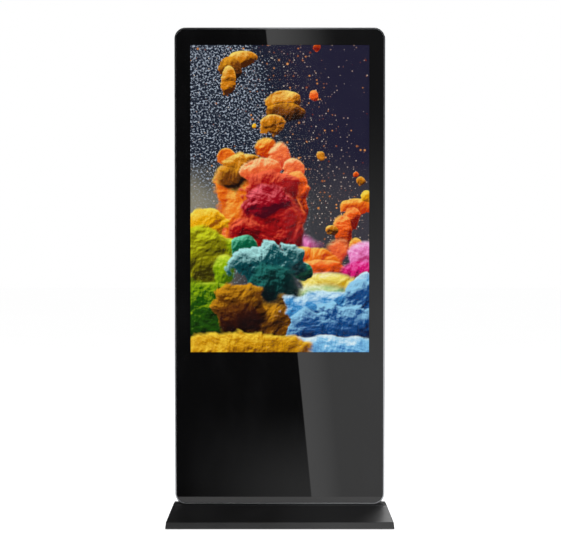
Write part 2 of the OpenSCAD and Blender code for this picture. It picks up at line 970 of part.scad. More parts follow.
module door_seal() {
    color([0.05, 0.05, 0.05])
        upright(seat_y, seat_y + seal_t)
            difference() {
                door_outline(-1);
                door_outline(3 - seat_w);
            }
}

knuckle_gap = 0.3;

// One knuckle between two heights, with its bore
module knuckle(z0, z1, bore) {
    translate([hinge_x, hinge_y, z0])
        difference() {
            cylinder(r = knuckle_r, h = z1 - z0);
            translate([0, 0, -cut])
                cylinder(r = bore, h = z1 - z0 + 2 * cut);
        }
}

// Leaf of a hinge: side is -1 on the frame and 1 on the door
module hinge_leaf(z, side) {
    third = hinge_len / 3;
    spans = side < 0 ? [[0, third], [2 * third, hinge_len]]
                     : [[third + knuckle_gap, 2 * third - knuckle_gap]];
    away = side < 0 ? [[third, 2 * third]] : [[-cut, third + knuckle_gap], [2 * third - knuckle_gap, hinge_len + cut]];
    bore = side < 0 ? pin_r + 0.02 : pin_r + run;
    reach = side < 0 ? hinge_x - leaf_w : hinge_x;
    difference() {
        translate([reach, rear_y, z])
            cube([leaf_w, leaf_t, hinge_len]);
        for (s = away)
            translate([hinge_x, hinge_y, z + s[0]])
                cylinder(r = knuckle_r + 1, h = s[1] - s[0]);
        for (s = spans)
            translate([hinge_x, hinge_y, z + s[0]])
                cylinder(r = bore, h = s[1] - s[0]);
    }
    for (s = spans)
        knuckle(z + s[0], z + s[1], bore);
    for (h = [0.2, 0.8])
        translate([hinge_x + side * leaf_w * 0.66, rear_y + leaf_t, z + h * hinge_len])
            rotate([-90, 0, 0])
                cylinder(r1 = 3.5, r2 = 2, h = 1.2);
}

module hinge_frame_leaves() {
    color([0.25, 0.25, 0.26])
        for (z = hinge_zs)
            hinge_leaf(z, -1);
}

module hinge_door_leaves() {
    color([0.25, 0.25, 0.26])
        for (z = hinge_zs)
            hinge_leaf(z, 1);
}

module hinge_pins() {
    color(zinc)
        for (z = hinge_zs)
            translate([hinge_x, hinge_y, z - 1.5])
                rotate_extrude()
                    polygon([[0, 0], [3, 0], [3, 1.5], [pin_r, 1.5], [pin_r, hinge_len + 1.5],
                             [3, hinge_len + 1.5], [3, hinge_len + 3], [0, hinge_len + 3]]);
}

module lock_housings() {
    color(zinc)
        for (z = lock_zs)
            difference() {
                union() {
                    rod_y(lock_x, z, lock_r, cam_y + cam_t + 2, rear_y + 0.5);
                    rod_y(lock_x, z, lock_r + 2.5, rear_y, rear_y + 2);
                }
                rod_y(lock_x, z, barrel_r + run, cam_y, rear_y + 2 + cut);
            }
}

module lock_barrel(z) {
    color([0.7, 0.71, 0.73])
        difference() {
            rod_y(lock_x, z, barrel_r, cam_y + cam_t, rear_y + 2.6);
            block([lock_x, rear_y - 4, z - 3.2], [1.2, 8, 6.4]);
        }
}

module lock_cam(z) {
    color(zinc)
        upright(cam_y, cam_y + cam_t)
            translate([lock_x, z]) {
                circle(8);
                translate([-5, 0])
                    square([10, cam_len - 5]);
                translate([0, cam_len - 5])
                    circle(5);
            }
}

// ---- Leads inside the casing ----

inlet_top = fitting_z + inlet_size[2] / 2;
mains_x = inlet_x + inlet_dx;
mains_end = [psu_pos[0] + psu[0] / 2, kit_y + 12, psu_pos[2] + 40];
mains_y = panel_in - 15.5;
bay_lead_y = kit_y + 9;
mains_route = [[mains_x, mains_y, inlet_top], [mains_x, mains_y, inlet_top + 12],
    [mains_x - 4, mains_y - 2, inlet_top + 26],
    [mains_x - 16, bay_lead_y + 3, inlet_top + 40], [mains_x - 34, bay_lead_y + 1, inlet_top + 52],
    [door_right - 16, bay_lead_y, door_z + 18], [door_right - 50, bay_lead_y, door_z + 28],
    [door_right - 90, bay_lead_y, door_z + 36], [mains_end[0] + 60, bay_lead_y + 1, mains_end[2] - 20],
    [mains_end[0] + 30, bay_lead_y + 3, mains_end[2] - 6], [mains_end[0] + 12, mains_end[1], mains_end[2]],
    mains_end];

module mains_lead() {
    color([0.03, 0.03, 0.03])
        lead(mains_route, 3.2);
}

media_top = media_pos[2] + media[2];
display_y = tray_back + bar_d + 5;
display_route = [[media_pos[0] - 40, kit_y + 12, media_top - 1], [media_pos[0] - 40, kit_y + 12, media_top + 16],
    [media_pos[0] - 38, kit_y + 12, media_top + 40], [-116, kit_y + 12, door_z + door_h + 12],
    [-116, kit_y + 20, screen_z - 12], [-112, display_y, screen_z + 30], [-108, display_y, screen_z + 80],
    [-100, display_y, screen_z + 120], [-70, display_y, screen_z + 140], [-20, display_y, screen_z + 148],
    [30, display_y - 1, screen_z + 156], [70, timing_pos[1] + board_t + 7.2, screen_z + 162]];

module display_cable() {
    color([0.1, 0.1, 0.12])
        lead(display_route, 2.6);
}

// From the board that feeds it to the fan or speaker that it feeds
function fan_route(side) = [[driver_pos[0] + side * 60, driver_pos[1] + board_t + 3, driver_pos[2] + 90],
    [side * 90, driver_pos[1] + 5, driver_pos[2] + 120], [side * 120, driver_pos[1] + 6, fan_z - 120],
    [side * 146, driver_pos[1] + 6, fan_z - 80], [side * 150, panel_in - 6, fan_z - fan_size / 2 - 12],
    [side * 150, panel_in - 6, fan_z - fan_size / 2]];

module low_voltage_leads() {
    color([0.4, 0.05, 0.05])
        for (side = [-1, 1])
            lead(fan_route(side), 1.5);
}

// ---- Assembly ----

base_plate();
base_cover();
foot(-foot_x, -foot_y);  // foot_front_left
foot(foot_x, -foot_y);  // foot_front_right
foot(-foot_x, foot_y);  // foot_rear_left
foot(foot_x, foot_y);  // foot_rear_right
base_fasteners();
post_feet();
post(-1);  // post_left
post(1);  // post_right
side_frame();
trim_frame();
rear_panel();
panel_screws();
crossbars();
front_glass();
printed_border();
touch_film();
glass_tape();
lcd_bezel();
lcd_cell();
optical_sheets();
backlight_tray();
led_strips();
timing_board();
led_driver_board();
board_spacers();
touch_controller();
equipment_tray();
media_box();
media_board();
power_supply();
amplifier_board();
port_plate();
port_sockets();
power_button();
button_housing();
inlet_plate();
power_inlet();
switch_housing();
power_rocker();
fan_frame(-1);  // fan_frame_left
fan_frame(1);  // fan_frame_right
fan_rotor(-1);  // fan_rotor_left
fan_rotor(1);  // fan_rotor_right
speaker(-1);  // speaker_left
speaker(1);  // speaker_right
service_door();
door_seal();
hinge_frame_leaves();
hinge_door_leaves();
hinge_pins();
lock_housings();
lock_barrel(lock_zs[1]);  // lock_barrel_upper
lock_barrel(lock_zs[0]);  // lock_barrel_lower
lock_cam(lock_zs[1]);  // lock_cam_upper
lock_cam(lock_zs[0]);  // lock_cam_lower
mains_lead();
display_cable();
low_voltage_leads();
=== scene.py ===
"""A floor-standing touchscreen kiosk: its looks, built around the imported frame.

Metres, +Z up, the screen faces -Y."""

import json
import math
import random

import bmesh
import bpy
from mathutils import Matrix, Vector


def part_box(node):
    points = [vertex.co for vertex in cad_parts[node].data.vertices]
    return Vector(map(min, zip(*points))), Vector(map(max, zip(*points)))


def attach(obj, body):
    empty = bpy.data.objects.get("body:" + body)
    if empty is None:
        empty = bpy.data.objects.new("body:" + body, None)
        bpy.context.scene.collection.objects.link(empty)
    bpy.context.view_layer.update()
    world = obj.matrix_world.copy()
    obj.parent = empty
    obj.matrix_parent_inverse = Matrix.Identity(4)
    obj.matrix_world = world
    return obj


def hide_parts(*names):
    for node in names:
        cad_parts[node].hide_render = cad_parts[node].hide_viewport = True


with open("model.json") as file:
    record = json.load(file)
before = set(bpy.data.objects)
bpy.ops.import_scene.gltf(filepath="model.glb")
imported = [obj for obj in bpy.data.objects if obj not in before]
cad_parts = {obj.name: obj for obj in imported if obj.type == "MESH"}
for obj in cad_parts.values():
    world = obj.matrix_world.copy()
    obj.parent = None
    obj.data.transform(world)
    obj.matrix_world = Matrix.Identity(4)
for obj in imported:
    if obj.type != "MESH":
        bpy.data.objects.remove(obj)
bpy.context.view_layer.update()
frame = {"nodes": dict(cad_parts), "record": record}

bl_info = {
    "name": "Touchscreen Kiosk",
    "version": (1, 0, 0),
    "blender": (4, 5, 0),
    "location": "View3D > Sidebar > Kiosk",
    "description": "Builds the glass front, screen, casing, base and fittings of a display kiosk",
    "category": "Add Mesh",
}

MM = 0.001


# ---- Sizes taken from the frame ----

BODY_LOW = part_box("side_frame")[0]
BODY_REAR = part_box("rear_panel")[1].y
GLASS_LOW, GLASS_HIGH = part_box("front_glass")
TRIM_LOW, TRIM_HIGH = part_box("trim_frame")
FILM_LOW, FILM_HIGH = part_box("touch_film")
FILM_MARGIN = 8 * MM
CORNER = 42 * MM
PAD_TOP = 6 * MM
BOARD_T = 1.6 * MM
SCREEN_W = FILM_HIGH.x - FILM_LOW.x - 2 * FILM_MARGIN
SCREEN_LOW = FILM_LOW.z + FILM_MARGIN
SCREEN_HIGH = FILM_HIGH.z - FILM_MARGIN


def srgb(red, green, blue):
    """Colour seen on a screen, 0 to 255, as the linear colour that shaders take."""
    def linear(value):
        value /= 255
        return value / 12.92 if value <= 0.04045 else ((value + 0.055) / 1.055) ** 2.4
    return (linear(red), linear(green), linear(blue), 1.0)


# ---- Settings ----

def colour_setting(name, description, default):
    return bpy.props.FloatVectorProperty(
        name=name, description=description, subtype="COLOR", size=4, min=0.0, max=1.0, default=default)


def length_setting(name, description, default):
    return bpy.props.FloatProperty(
        name=name, description=description, default=default, min=0.0, unit="LENGTH", precision=4)


class KioskFinish(bpy.types.PropertyGroup):
    """Colours of the kiosk's finishes"""

    powder: colour_setting("Powder coat", "Colour of the painted steel", (0.012, 0.012, 0.0125, 1))
    trim: colour_setting("Trim", "Colour of the anodised trim", (0.52, 0.53, 0.55, 1))
    glass: colour_setting("Glass border", "Colour of the printed glass", (0.0028, 0.0028, 0.003, 1))
    zinc: colour_setting("Zinc plate", "Colour of the plated steel", (0.5, 0.51, 0.53, 1))
    board: colour_setting("Circuit board", "Colour of the solder mask", (0.008, 0.075, 0.035, 1))
    rocker: colour_setting("Rocker", "Colour of the mains rocker", (0.35, 0.01, 0.01, 1))


class KioskSizes(bpy.types.PropertyGroup):
    """Edge sizes of the kiosk's shells"""

    glass_edge: length_setting("Glass edge", "Ground edge of the front glass", 0.8 * MM)
    fold: length_setting("Fold radius", "Outer radius of the folded base cover", 1.6 * MM)
    shell_edge: length_setting("Shell edge", "Rounding on the casing's edges", 0.7 * MM)
    fine_edge: length_setting("Fine edge", "Rounding on small fittings", 0.25 * MM)


class KioskPicture(bpy.types.PropertyGroup):
    """The picture that the screen shows"""

    brightness: bpy.props.FloatProperty(
        name="Brightness", description="Strength of the lit picture", default=1.0, min=0.0, max=10.0)
    relief: bpy.props.FloatProperty(
        name="Relief", description="Depth of the relief in the powder", default=1.0, min=0.0, max=3.0)


def finish():
    return bpy.context.scene.kiosk_finish


def sizes():
    return bpy.context.scene.kiosk_sizes


def picture():
    return bpy.context.scene.kiosk_picture


# ---- Node helpers ----

class Graph:
    """Adds nodes to a tree and links what it is given as a socket."""

    def __init__(self, tree):
        self.tree = tree

    def add(self, kind, settings=None, **inputs):
        node = self.tree.nodes.new(kind)
        for name, value in (settings or {}).items():
            setattr(node, name, value)
        for name, value in inputs.items():
            self.feed(node.inputs[name.replace("_", " ")], value)
        return node

    def feed(self, socket, value):
        if isinstance(value, bpy.types.NodeSocket):
            self.tree.links.new(value, socket)
        else:
            socket.default_value = value

    def math(self, operation, *values, clamp=False):
        node = self.add("ShaderNodeMath", {"operation": operation, "use_clamp": clamp})
        for socket, value in zip(node.inputs, values):
            self.feed(socket, value)
        return node.outputs[0]

    def vector(self, operation, *values):
        node = self.add("ShaderNodeVectorMath", {"operation": operation})
        for socket, value in zip(node.inputs, values):
            self.feed(socket, value)
        return node.outputs["Value" if operation in ("LENGTH", "DOT_PRODUCT") else "Vector"]

    def smooth(self, value, low, high, to_low=0.0, to_high=1.0):
        node = self.add("ShaderNodeMapRange", {"interpolation_type": "SMOOTHSTEP"})
        for socket, given in zip(node.inputs, (value, low, high, to_low, to_high)):
            self.feed(socket, given)
        return node.outputs[0]

    def noise(self, vector, scale, detail=3.0, kind="FBM", roughness=0.5, dimensions="3D", output="Fac"):
        node = self.add("ShaderNodeTexNoise", {"noise_type": kind, "noise_dimensions": dimensions},
                        Vector=vector, Scale=scale, Detail=detail, Roughness=roughness)
        return node.outputs[output]

    def mix(self, factor, first, second, blend="MIX"):
        node = self.add("ShaderNodeMix", {"data_type": "RGBA", "blend_type": blend})
        self.feed(node.inputs[0], factor)
        self.feed(node.inputs[6], first)
        self.feed(node.inputs[7], second)
        return node.outputs[2]

    def ramp(self, factor, stops):
        node = self.add("ShaderNodeValToRGB", Fac=factor)
        elements = node.color_ramp.elements
        while len(elements) < len(stops):
            elements.new(0.5)
        for element, (place, colour) in zip(elements, stops):
            element.position = place
            element.color = colour
        return node.outputs["Color"]

    def scaled(self, colour, factor):
        """The colour times a factor that is a socket."""
        node = self.add("ShaderNodeVectorMath", {"operation": "SCALE"}, Scale=factor)
        self.feed(node.inputs[0], colour)
        return node.outputs["Vector"]

    def group(self, name, **inputs):
        node = self.tree.nodes.new("ShaderNodeGroup")
        node.node_tree = node_group(name)
        for key, value in inputs.items():
            self.feed(node.inputs[key.replace("_", " ")], value)
        return node.outputs


SOCKET_KINDS = {"f": "NodeSocketFloat", "v": "NodeSocketVector", "c": "NodeSocketColor"}
GROUPS = {}


def group_recipe(name, inputs, outputs):
    """Registers a function as the recipe of a shared node group."""
    def keep(recipe):
        GROUPS[name] = (recipe, inputs, outputs)
        return recipe
    return keep


def node_group(name):
    """The shared node group of that name, built the first time it is asked for."""
    if name in bpy.data.node_groups:
        return bpy.data.node_groups[name]
    recipe, inputs, outputs = GROUPS[name]
    tree = bpy.data.node_groups.new(name, "ShaderNodeTree")
    for label, kind in inputs.items():
        tree.interface.new_socket(label, in_out="INPUT", socket_type=SOCKET_KINDS[kind])
    for label, kind in outputs.items():
        tree.interface.new_socket(label, in_out="OUTPUT", socket_type=SOCKET_KINDS[kind])
    graph = Graph(tree)
    given = graph.add("NodeGroupInput").outputs
    results = recipe(graph, given)
    out = graph.add("NodeGroupOutput")
    for label, socket in results.items():
        tree.links.new(socket, out.inputs[label])
    return tree


@group_recipe("Powder coat", {"Vector": "v", "Colour": "c"}, {"Colour": "c", "Roughness": "f", "Height": "f"})
def powder_group(graph, given):
    """Fine orange-peel of baked powder, with faint mottling and painted glints on the peaks of its fine
    specks.
    """
    peel = graph.noise(given["Vector"], 700.0, 2.0)
    speck = graph.noise(given["Vector"], 2600.0, 1.0)
    drift = graph.noise(given["Vector"], 7.0, 3.0)
    height = graph.math("MULTIPLY_ADD", speck, 0.35, peel)
    roughness = graph.math("MULTIPLY_ADD", drift, 0.12, 0.36)
    tone = graph.smooth(drift, 0.3, 0.7, 0.85, 1.2)
    # Painted glints: the peaks of the fine specks are coloured lighter.
    painted_glints = graph.smooth(speck, 0.62, 0.8, 0.0, 0.9)
    factor = graph.math("ADD", tone, painted_glints)
    return {"Colour": graph.scaled(given["Colour"], factor), "Roughness": roughness, "Height": height}


@group_recipe("Brushed grain", {"Vector": "v", "Stretch": "v"}, {"Grain": "f"})
def brushed_group(graph, given):
    """Fine parallel grain; a small stretch along an axis draws the lines out along it."""
    drawn = graph.vector("MULTIPLY", given["Vector"], given["Stretch"])
    coarse = graph.noise(drawn, 420.0, 3.0)
    fine = graph.noise(drawn, 1500.0, 2.0)
    return {"Grain": graph.math("MULTIPLY_ADD", fine, 0.5, graph.math("MULTIPLY", coarse, 0.5))}


@group_recipe("Handling marks", {"Vector": "v"}, {"Marks": "f"})
def marks_group(graph, given):
    """Soft wiped smears and a few fine specks, as a polished sheet picks up."""
    bent = graph.vector("MULTIPLY", given["Vector"], (1.0, 1.0, 0.35))
    smear = graph.smooth(graph.noise(bent, 9.0, 5.0, roughness=0.6), 0.45, 0.75)
    speck = graph.smooth(graph.noise(given["Vector"], 900.0, 1.0), 0.74, 0.8)
    return {"Marks": graph.math("MULTIPLY_ADD", speck, 0.5, smear, clamp=True)}


@group_recipe("Powder relief", {"Point": "v"}, {"Height": "f"})
def relief_group(graph, given):
    """Billowing relief of thrown powder: round lumps with sharp creases between them."""
    elsewhere = graph.vector("ADD", given["Point"], (7.0, 3.0, 0.0))
    shift = [graph.math("MULTIPLY_ADD", graph.noise(at, 3.2, 2.0), 0.16, -0.08)
             for at in (given["Point"], elsewhere)]
    moved = graph.add("ShaderNodeCombineXYZ", X=shift[0], Y=shift[1]).outputs[0]
    point = graph.vector("ADD", given["Point"], moved)
    creases = graph.noise(point, 5.0, 3.6, kind="RIDGED_MULTIFRACTAL", roughness=0.42)
    soft = graph.noise(point, 9.0, 5.0, roughness=0.5)
    lumps = graph.math("MULTIPLY_ADD", creases, -0.36, soft)
    return {"Height": lumps}


@group_recipe("Cloud", {"Point": "v", "Centre": "v", "Radii": "v", "Height": "f", "Slope": "f", "Ragged": "f",
                        "Soft": "f"}, {"Mask": "f", "Shade": "f"})
def cloud_group(graph, given):
    """One lump of powder: an ellipse whose rim follows the relief, lit from above."""
    offset = graph.vector("DIVIDE", graph.vector("SUBTRACT", given["Point"], given["Centre"]), given["Radii"])
    reach = graph.vector("LENGTH", offset)
    depth = graph.math("SUBTRACT", 1.0, reach)
    edge = graph.math("MULTIPLY_ADD", given["Height"], given["Ragged"], depth)
    mask = graph.smooth(edge, 0.0, given["Soft"])
    rise = graph.vector("DOT_PRODUCT", offset, (-0.35, 1.0, 0.0))
    dome = graph.math("MULTIPLY_ADD", rise, 0.36, 0.34)
    rim = graph.smooth(edge, 0.0, 0.3, 0.22, 0.0)
    lit = graph.math("ADD", graph.math("ADD", dome, rim), given["Slope"])
    return {"Mask": mask, "Shade": lit}


@group_recipe("Dust specks", {"Point": "v", "Scale": "f", "Density": "f"}, {"Specks": "f", "Tone": "f"})
def specks_group(graph, given):
    """Round grains scattered through cells: denser where Density is higher."""
    cells = graph.add("ShaderNodeTexVoronoi", {"voronoi_dimensions": "2D"}, Vector=given["Point"],
                      Scale=given["Scale"])
    tone = graph.add("ShaderNodeSeparateColor", Color=cells.outputs["Color"]).outputs
    size = graph.math("MULTIPLY_ADD", tone["Red"], 0.3, 0.1)
    grain = graph.smooth(cells.outputs["Distance"], size, graph.math("MULTIPLY", size, 0.5))
    chosen = graph.math("LESS_THAN", tone["Green"], given["Density"])
    return {"Specks": graph.math("MULTIPLY", grain, chosen), "Tone": tone["Blue"]}


@group_recipe("Circuit tracks", {"Vector": "v"}, {"Tracks": "f"})
def tracks_group(graph, given):
    """Square-cornered copper tracks under the solder mask."""
    cells = graph.add("ShaderNodeTexVoronoi", {"feature": "DISTANCE_TO_EDGE"}, Vector=given["Vector"],
                      Scale=180.0, Randomness=0.6)
    wire = graph.smooth(cells.outputs["Distance"], 0.03, 0.08, 1.0, 0.0)
    return {"Tracks": wire}


# ---- Materials ----

def material(name):
    """A new material, its graph, its shader and a socket with the object's own coordinates."""
    made = bpy.data.materials.new(name)
    made.use_nodes = True
    made.node_tree.nodes.clear()
    graph = Graph(made.node_tree)
    shader = graph.add("ShaderNodeBsdfPrincipled")
    graph.add("ShaderNodeOutputMaterial", Surface=shader.outputs[0])
    place = graph.add("ShaderNodeTexCoord").outputs["Object"]
    return made, graph, shader, place


def bump(graph, shader, height, distance, strength=0.6):
    node = graph.add("ShaderNodeBump", Height=height, Distance=distance, Strength=strength)
    graph.tree.links.new(node.outputs["Normal"], shader.inputs["Normal"])


def toned(graph, shader, level, low, high, rough, spread):
    """Feeds a colour between two and a roughness, both from one level."""
    graph.feed(shader.inputs["Base Color"], graph.mix(level, low, high))
    graph.feed(shader.inputs["Roughness"], graph.math("MULTIPLY_ADD", level, spread, rough))


def lighter(colour, factor):
    """The colour times a number, for settings."""
    return tuple(min(1.0, factor * value) for value in colour[:3]) + (1.0,)


def powder_material():
    made, graph, shader, place = material("Powder coat")
    coat = graph.group("Powder coat", Vector=place, Colour=tuple(finish().powder))
    graph.feed(shader.inputs["Base Color"], coat["Colour"])
    graph.feed(shader.inputs["Roughness"], coat["Roughness"])
    bump(graph, shader, coat["Height"], 0.06 * MM)
    return made


def metal_material(name, colour, roughness, spread, stretch=(1.0, 1.0, 1.0)):
    """Metal with a fine grain, drawn out along the axis whose stretch is small."""
    made, graph, shader, place = material(name)
    shader.inputs["Metallic"].default_value = 1.0
    grain = graph.group("Brushed grain", Vector=place, Stretch=stretch)["Grain"]
    toned(graph, shader, grain, lighter(colour, 0.82), tuple(colour), roughness, spread)
    bump(graph, shader, grain, 0.02 * MM, 0.4)
    return made


def plastic_material(name, colour, roughness):
    """Moulded plastic with a fine spark-eroded texture."""
    made, graph, shader, place = material(name)
    texture = graph.noise(place, 1800.0, 2.0)
    toned(graph, shader, texture, tuple(colour), lighter(colour, 1.5), roughness, 0.15)
    bump(graph, shader, texture, 0.03 * MM)
    return made


def border_glass_material():
    """Polished glass, printed black behind."""
    made, graph, shader, place = material("Printed glass")
    marks = graph.group("Handling marks", Vector=place)["Marks"]
    ink = tuple(finish().glass)
    toned(graph, shader, marks, ink, lighter(ink, 1.6), 0.015, 0.02)
    shader.inputs["IOR"].default_value = 1.5
    return made


def screen_glass_material():
    """Clear, coated glass over the screen."""
    made, graph, shader, place = material("Clear glass")
    marks = graph.group("Handling marks", Vector=place)["Marks"]
    toned(graph, shader, marks, srgb(8, 9, 11), srgb(16, 18, 22), 0.03, 0.05)
    graph.feed(shader.inputs["Alpha"], graph.math("MULTIPLY_ADD", marks, 0.01, 0.05))
    made.surface_render_method = "BLENDED"
    return made


def film_material():
    """Clear film with a faint diamond mesh of sensor electrodes."""
    made, graph, shader, place = material("Sensor film")
    turned = graph.add("ShaderNodeMapping", Vector=place, Rotation=(0, math.radians(45), 0)).outputs[0]
    part = graph.add("ShaderNodeSeparateXYZ", Vector=turned).outputs
    pitch = 2.5 * MM
    line = 0.06 * MM
    lines = graph.math("MAXIMUM", *[
        graph.smooth(graph.math("PINGPONG", part[axis], pitch), 0.0, line, 1.0, 0.0) for axis in "XZ"])
    toned(graph, shader, lines, srgb(20, 22, 24), srgb(90, 80, 70), 0.1, 0.2)
    graph.feed(shader.inputs["Alpha"], graph.math("MULTIPLY_ADD", lines, 0.03, 0.012))
    made.surface_render_method = "BLENDED"
    return made


# One lump of powder a row: centre and radii as shares of the screen's width, the height measured from its
# bottom edge, then its shadow, body and light colours, how ragged its rim is and how soft.
AMBER = ((70, 30, 0), (222, 134, 12), (255, 222, 110))
BRONZE = ((24, 8, 0), (128, 66, 4), (236, 160, 30))
EMBER = ((120, 8, 0), (248, 92, 14), (255, 186, 90))
BLAZE = ((196, 50, 0), (246, 122, 20), (255, 206, 90))
PEACH = ((216, 60, 30), (252, 122, 60), (255, 216, 150))
SCARLET = ((84, 0, 4), (172, 12, 14), (255, 110, 70))
CRIMSON = ((70, 0, 16), (164, 2, 24), (250, 110, 120))
SUN = ((150, 80, 0), (246, 178, 0), (255, 232, 90))
OLIVE = ((50, 44, 0), (134, 130, 0), (214, 220, 30))
LIME = ((60, 96, 0), (146, 186, 4), (224, 240, 70))
LEAF = ((6, 26, 0), (32, 84, 2), (150, 186, 10))
JADE = ((0, 26, 20), (0, 102, 66), (120, 226, 184))
TEAL = ((0, 20, 26), (6, 78, 84), (176, 236, 234))
DEEP = ((0, 10, 12), (0, 40, 38), (36, 120, 112))
ROSE = ((196, 50, 120), (246, 140, 206), (255, 212, 244))
MAGENTA = ((120, 0, 60), (226, 10, 120), (255, 120, 204))
CREAM = ((204, 160, 20), (250, 232, 110), (255, 252, 204))
MINT = ((90, 170, 120), (200, 222, 152), (240, 250, 220))
UMBER = ((14, 2, 0), (48, 14, 2), (120, 64, 6))
OCHRE = ((22, 6, 0), (110, 62, 2), (226, 158, 20))
SAND = ((110, 58, 0), (214, 152, 8), (255, 216, 60))
SKY = ((40, 110, 180), (130, 198, 238), (226, 248, 255))
AZURE = ((4, 52, 116), (66, 152, 214), (206, 240, 255))
COBALT = ((0, 18, 60), (14, 76, 142), (150, 212, 244))
CLOUDS = [
    ((0.300, 1.650), (0.068, 0.036), AMBER, 0.8, 0.10),
    ((0.215, 1.595), (0.052, 0.055), BRONZE, 0.7, 0.10),
    ((0.212, 1.530), (0.034, 0.065), AMBER, 0.7, 0.12),
    ((0.527, 1.425), (0.074, 0.040), AMBER, 0.8, 0.10),
    ((0.530, 1.350), (0.084, 0.042), BRONZE, 0.8, 0.10),
    ((0.462, 1.285), (0.062, 0.046), AMBER, 0.7, 0.12),
    ((0.425, 1.150), (0.050, 0.050), BLAZE, 0.8, 0.30),
    ((0.500, 1.100), (0.050, 0.070), PEACH, 0.8, 0.30),
    ((0.923, 0.825), (0.060, 0.034), BLAZE, 1.1, 0.14),
    ((0.906, 0.760), (0.040, 0.055), EMBER, 0.9, 0.16),
    ((0.855, 0.670), (0.042, 0.085), EMBER, 0.8, 0.24),
    ((0.830, 0.580), (0.055, 0.060), PEACH, 0.8, 0.60),
    ((0.925, 0.580), (0.032, 0.060), BLAZE, 0.8, 0.20),
    ((0.600, 0.610), (0.110, 0.060), ROSE, 0.7, 0.90),
    ((0.205, 0.680), (0.055, 0.080), PEACH, 0.6, 0.60),
    ((0.200, 1.100), (0.046, 0.046), BLAZE, 0.6, 0.16),
    ((0.265, 0.900), (0.112, 0.180), BLAZE, 0.6, 0.16),
    ((0.290, 0.760), (0.105, 0.190), BLAZE, 0.5, 0.30),
    ((0.300, 1.060), (0.115, 0.050), AMBER, 0.7, 0.20),
    ((0.245, 0.990), (0.082, 0.062), BRONZE, 0.7, 0.60),
    ((0.575, 1.030), (0.050, 0.052), PEACH, 0.8, 0.16),
    ((0.400, 1.030), (0.090, 0.056), PEACH, 0.8, 0.16),
    ((0.590, 0.900), (0.062, 0.100), EMBER, 0.8, 0.16),
    ((0.560, 0.760), (0.060, 0.130), EMBER, 0.6, 0.24),
    ((0.460, 0.900), (0.130, 0.095), SCARLET, 0.9, 0.14),
    ((0.450, 0.700), (0.150, 0.210), SCARLET, 0.6, 0.30),
    ((0.430, 0.850), (0.100, 0.085), CRIMSON, 0.9, 0.30),
    ((0.305, 0.680), (0.085, 0.075), SCARLET, 0.6, 0.30),
    ((0.090, 0.725), (0.095, 0.075), SUN, 0.8, 0.14),
    ((0.210, 0.600), (0.075, 0.044), LIME, 0.6, 0.30),
    ((0.070, 0.530), (0.140, 0.165), OLIVE, 0.5, 0.20),
    ((0.190, 0.475), (0.055, 0.080), LIME, 0.5, 0.30),
    ((0.670, 0.525), (0.120, 0.056), BLAZE, 0.9, 0.20),
    ((0.730, 0.470), (0.110, 0.044), EMBER, 1.0, 0.18),
    ((0.975, 0.550), (0.090, 0.070), ROSE, 0.6, 0.30),
    ((0.950, 0.465), (0.095, 0.055), MAGENTA, 0.6, 0.40),
    ((0.760, 0.400), (0.140, 0.050), CREAM, 0.8, 0.40),
    ((0.740, 0.335), (0.150, 0.056), MINT, 0.7, 0.60),
    ((0.310, 0.600), (0.060, 0.058), JADE, 0.8, 0.12),
    ((0.630, 0.456), (0.046, 0.044), JADE, 0.8, 0.12),
    ((0.430, 0.490), (0.145, 0.095), TEAL, 1.0, 0.12),
    ((0.465, 0.345), (0.135, 0.130), DEEP, 0.7, 0.24),
    ((0.100, 0.330), (0.150, 0.060), LIME, 0.6, 0.14),
    ((0.060, 0.190), (0.200, 0.190), LEAF, 0.6, 0.24),
    ((0.420, 0.120), (0.220, 0.180), OCHRE, 0.6, 0.40),
    ((0.275, 0.255), (0.120, 0.125), OCHRE, 0.7, 0.12),
    ((0.270, 0.190), (0.100, 0.090), UMBER, 0.7, 0.30),
    ((0.790, 0.265), (0.210, 0.075), AZURE, 0.9, 0.24),
    ((0.985, 0.360), (0.060, 0.070), AZURE, 0.9, 0.14),
    ((0.950, 0.250), (0.090, 0.120), COBALT, 0.9, 0.16),
    ((0.860, 0.130), (0.170, 0.110), COBALT, 1.0, 0.16),
    ((0.655, 0.130), (0.080, 0.085), COBALT, 1.0, 0.14),
    ((0.800, 0.025), (0.280, 0.060), SKY, 0.9, 0.20),
    ((0.230, 0.015), (0.380, 0.085), SAND, 0.8, 0.24),
]
BALLS = [((0.690, 1.453), 0.022, EMBER), ((0.728, 1.117), 0.020, AMBER), ((0.705, 1.708), 0.022, EMBER),
         ((0.358, 1.276), 0.011, SUN), ((0.790, 0.693), 0.032, AMBER), ((0.926, 1.005), 0.015, EMBER),
         ((0.952, 0.968), 0.024, AMBER), ((0.985, 0.890), 0.026, SUN)]


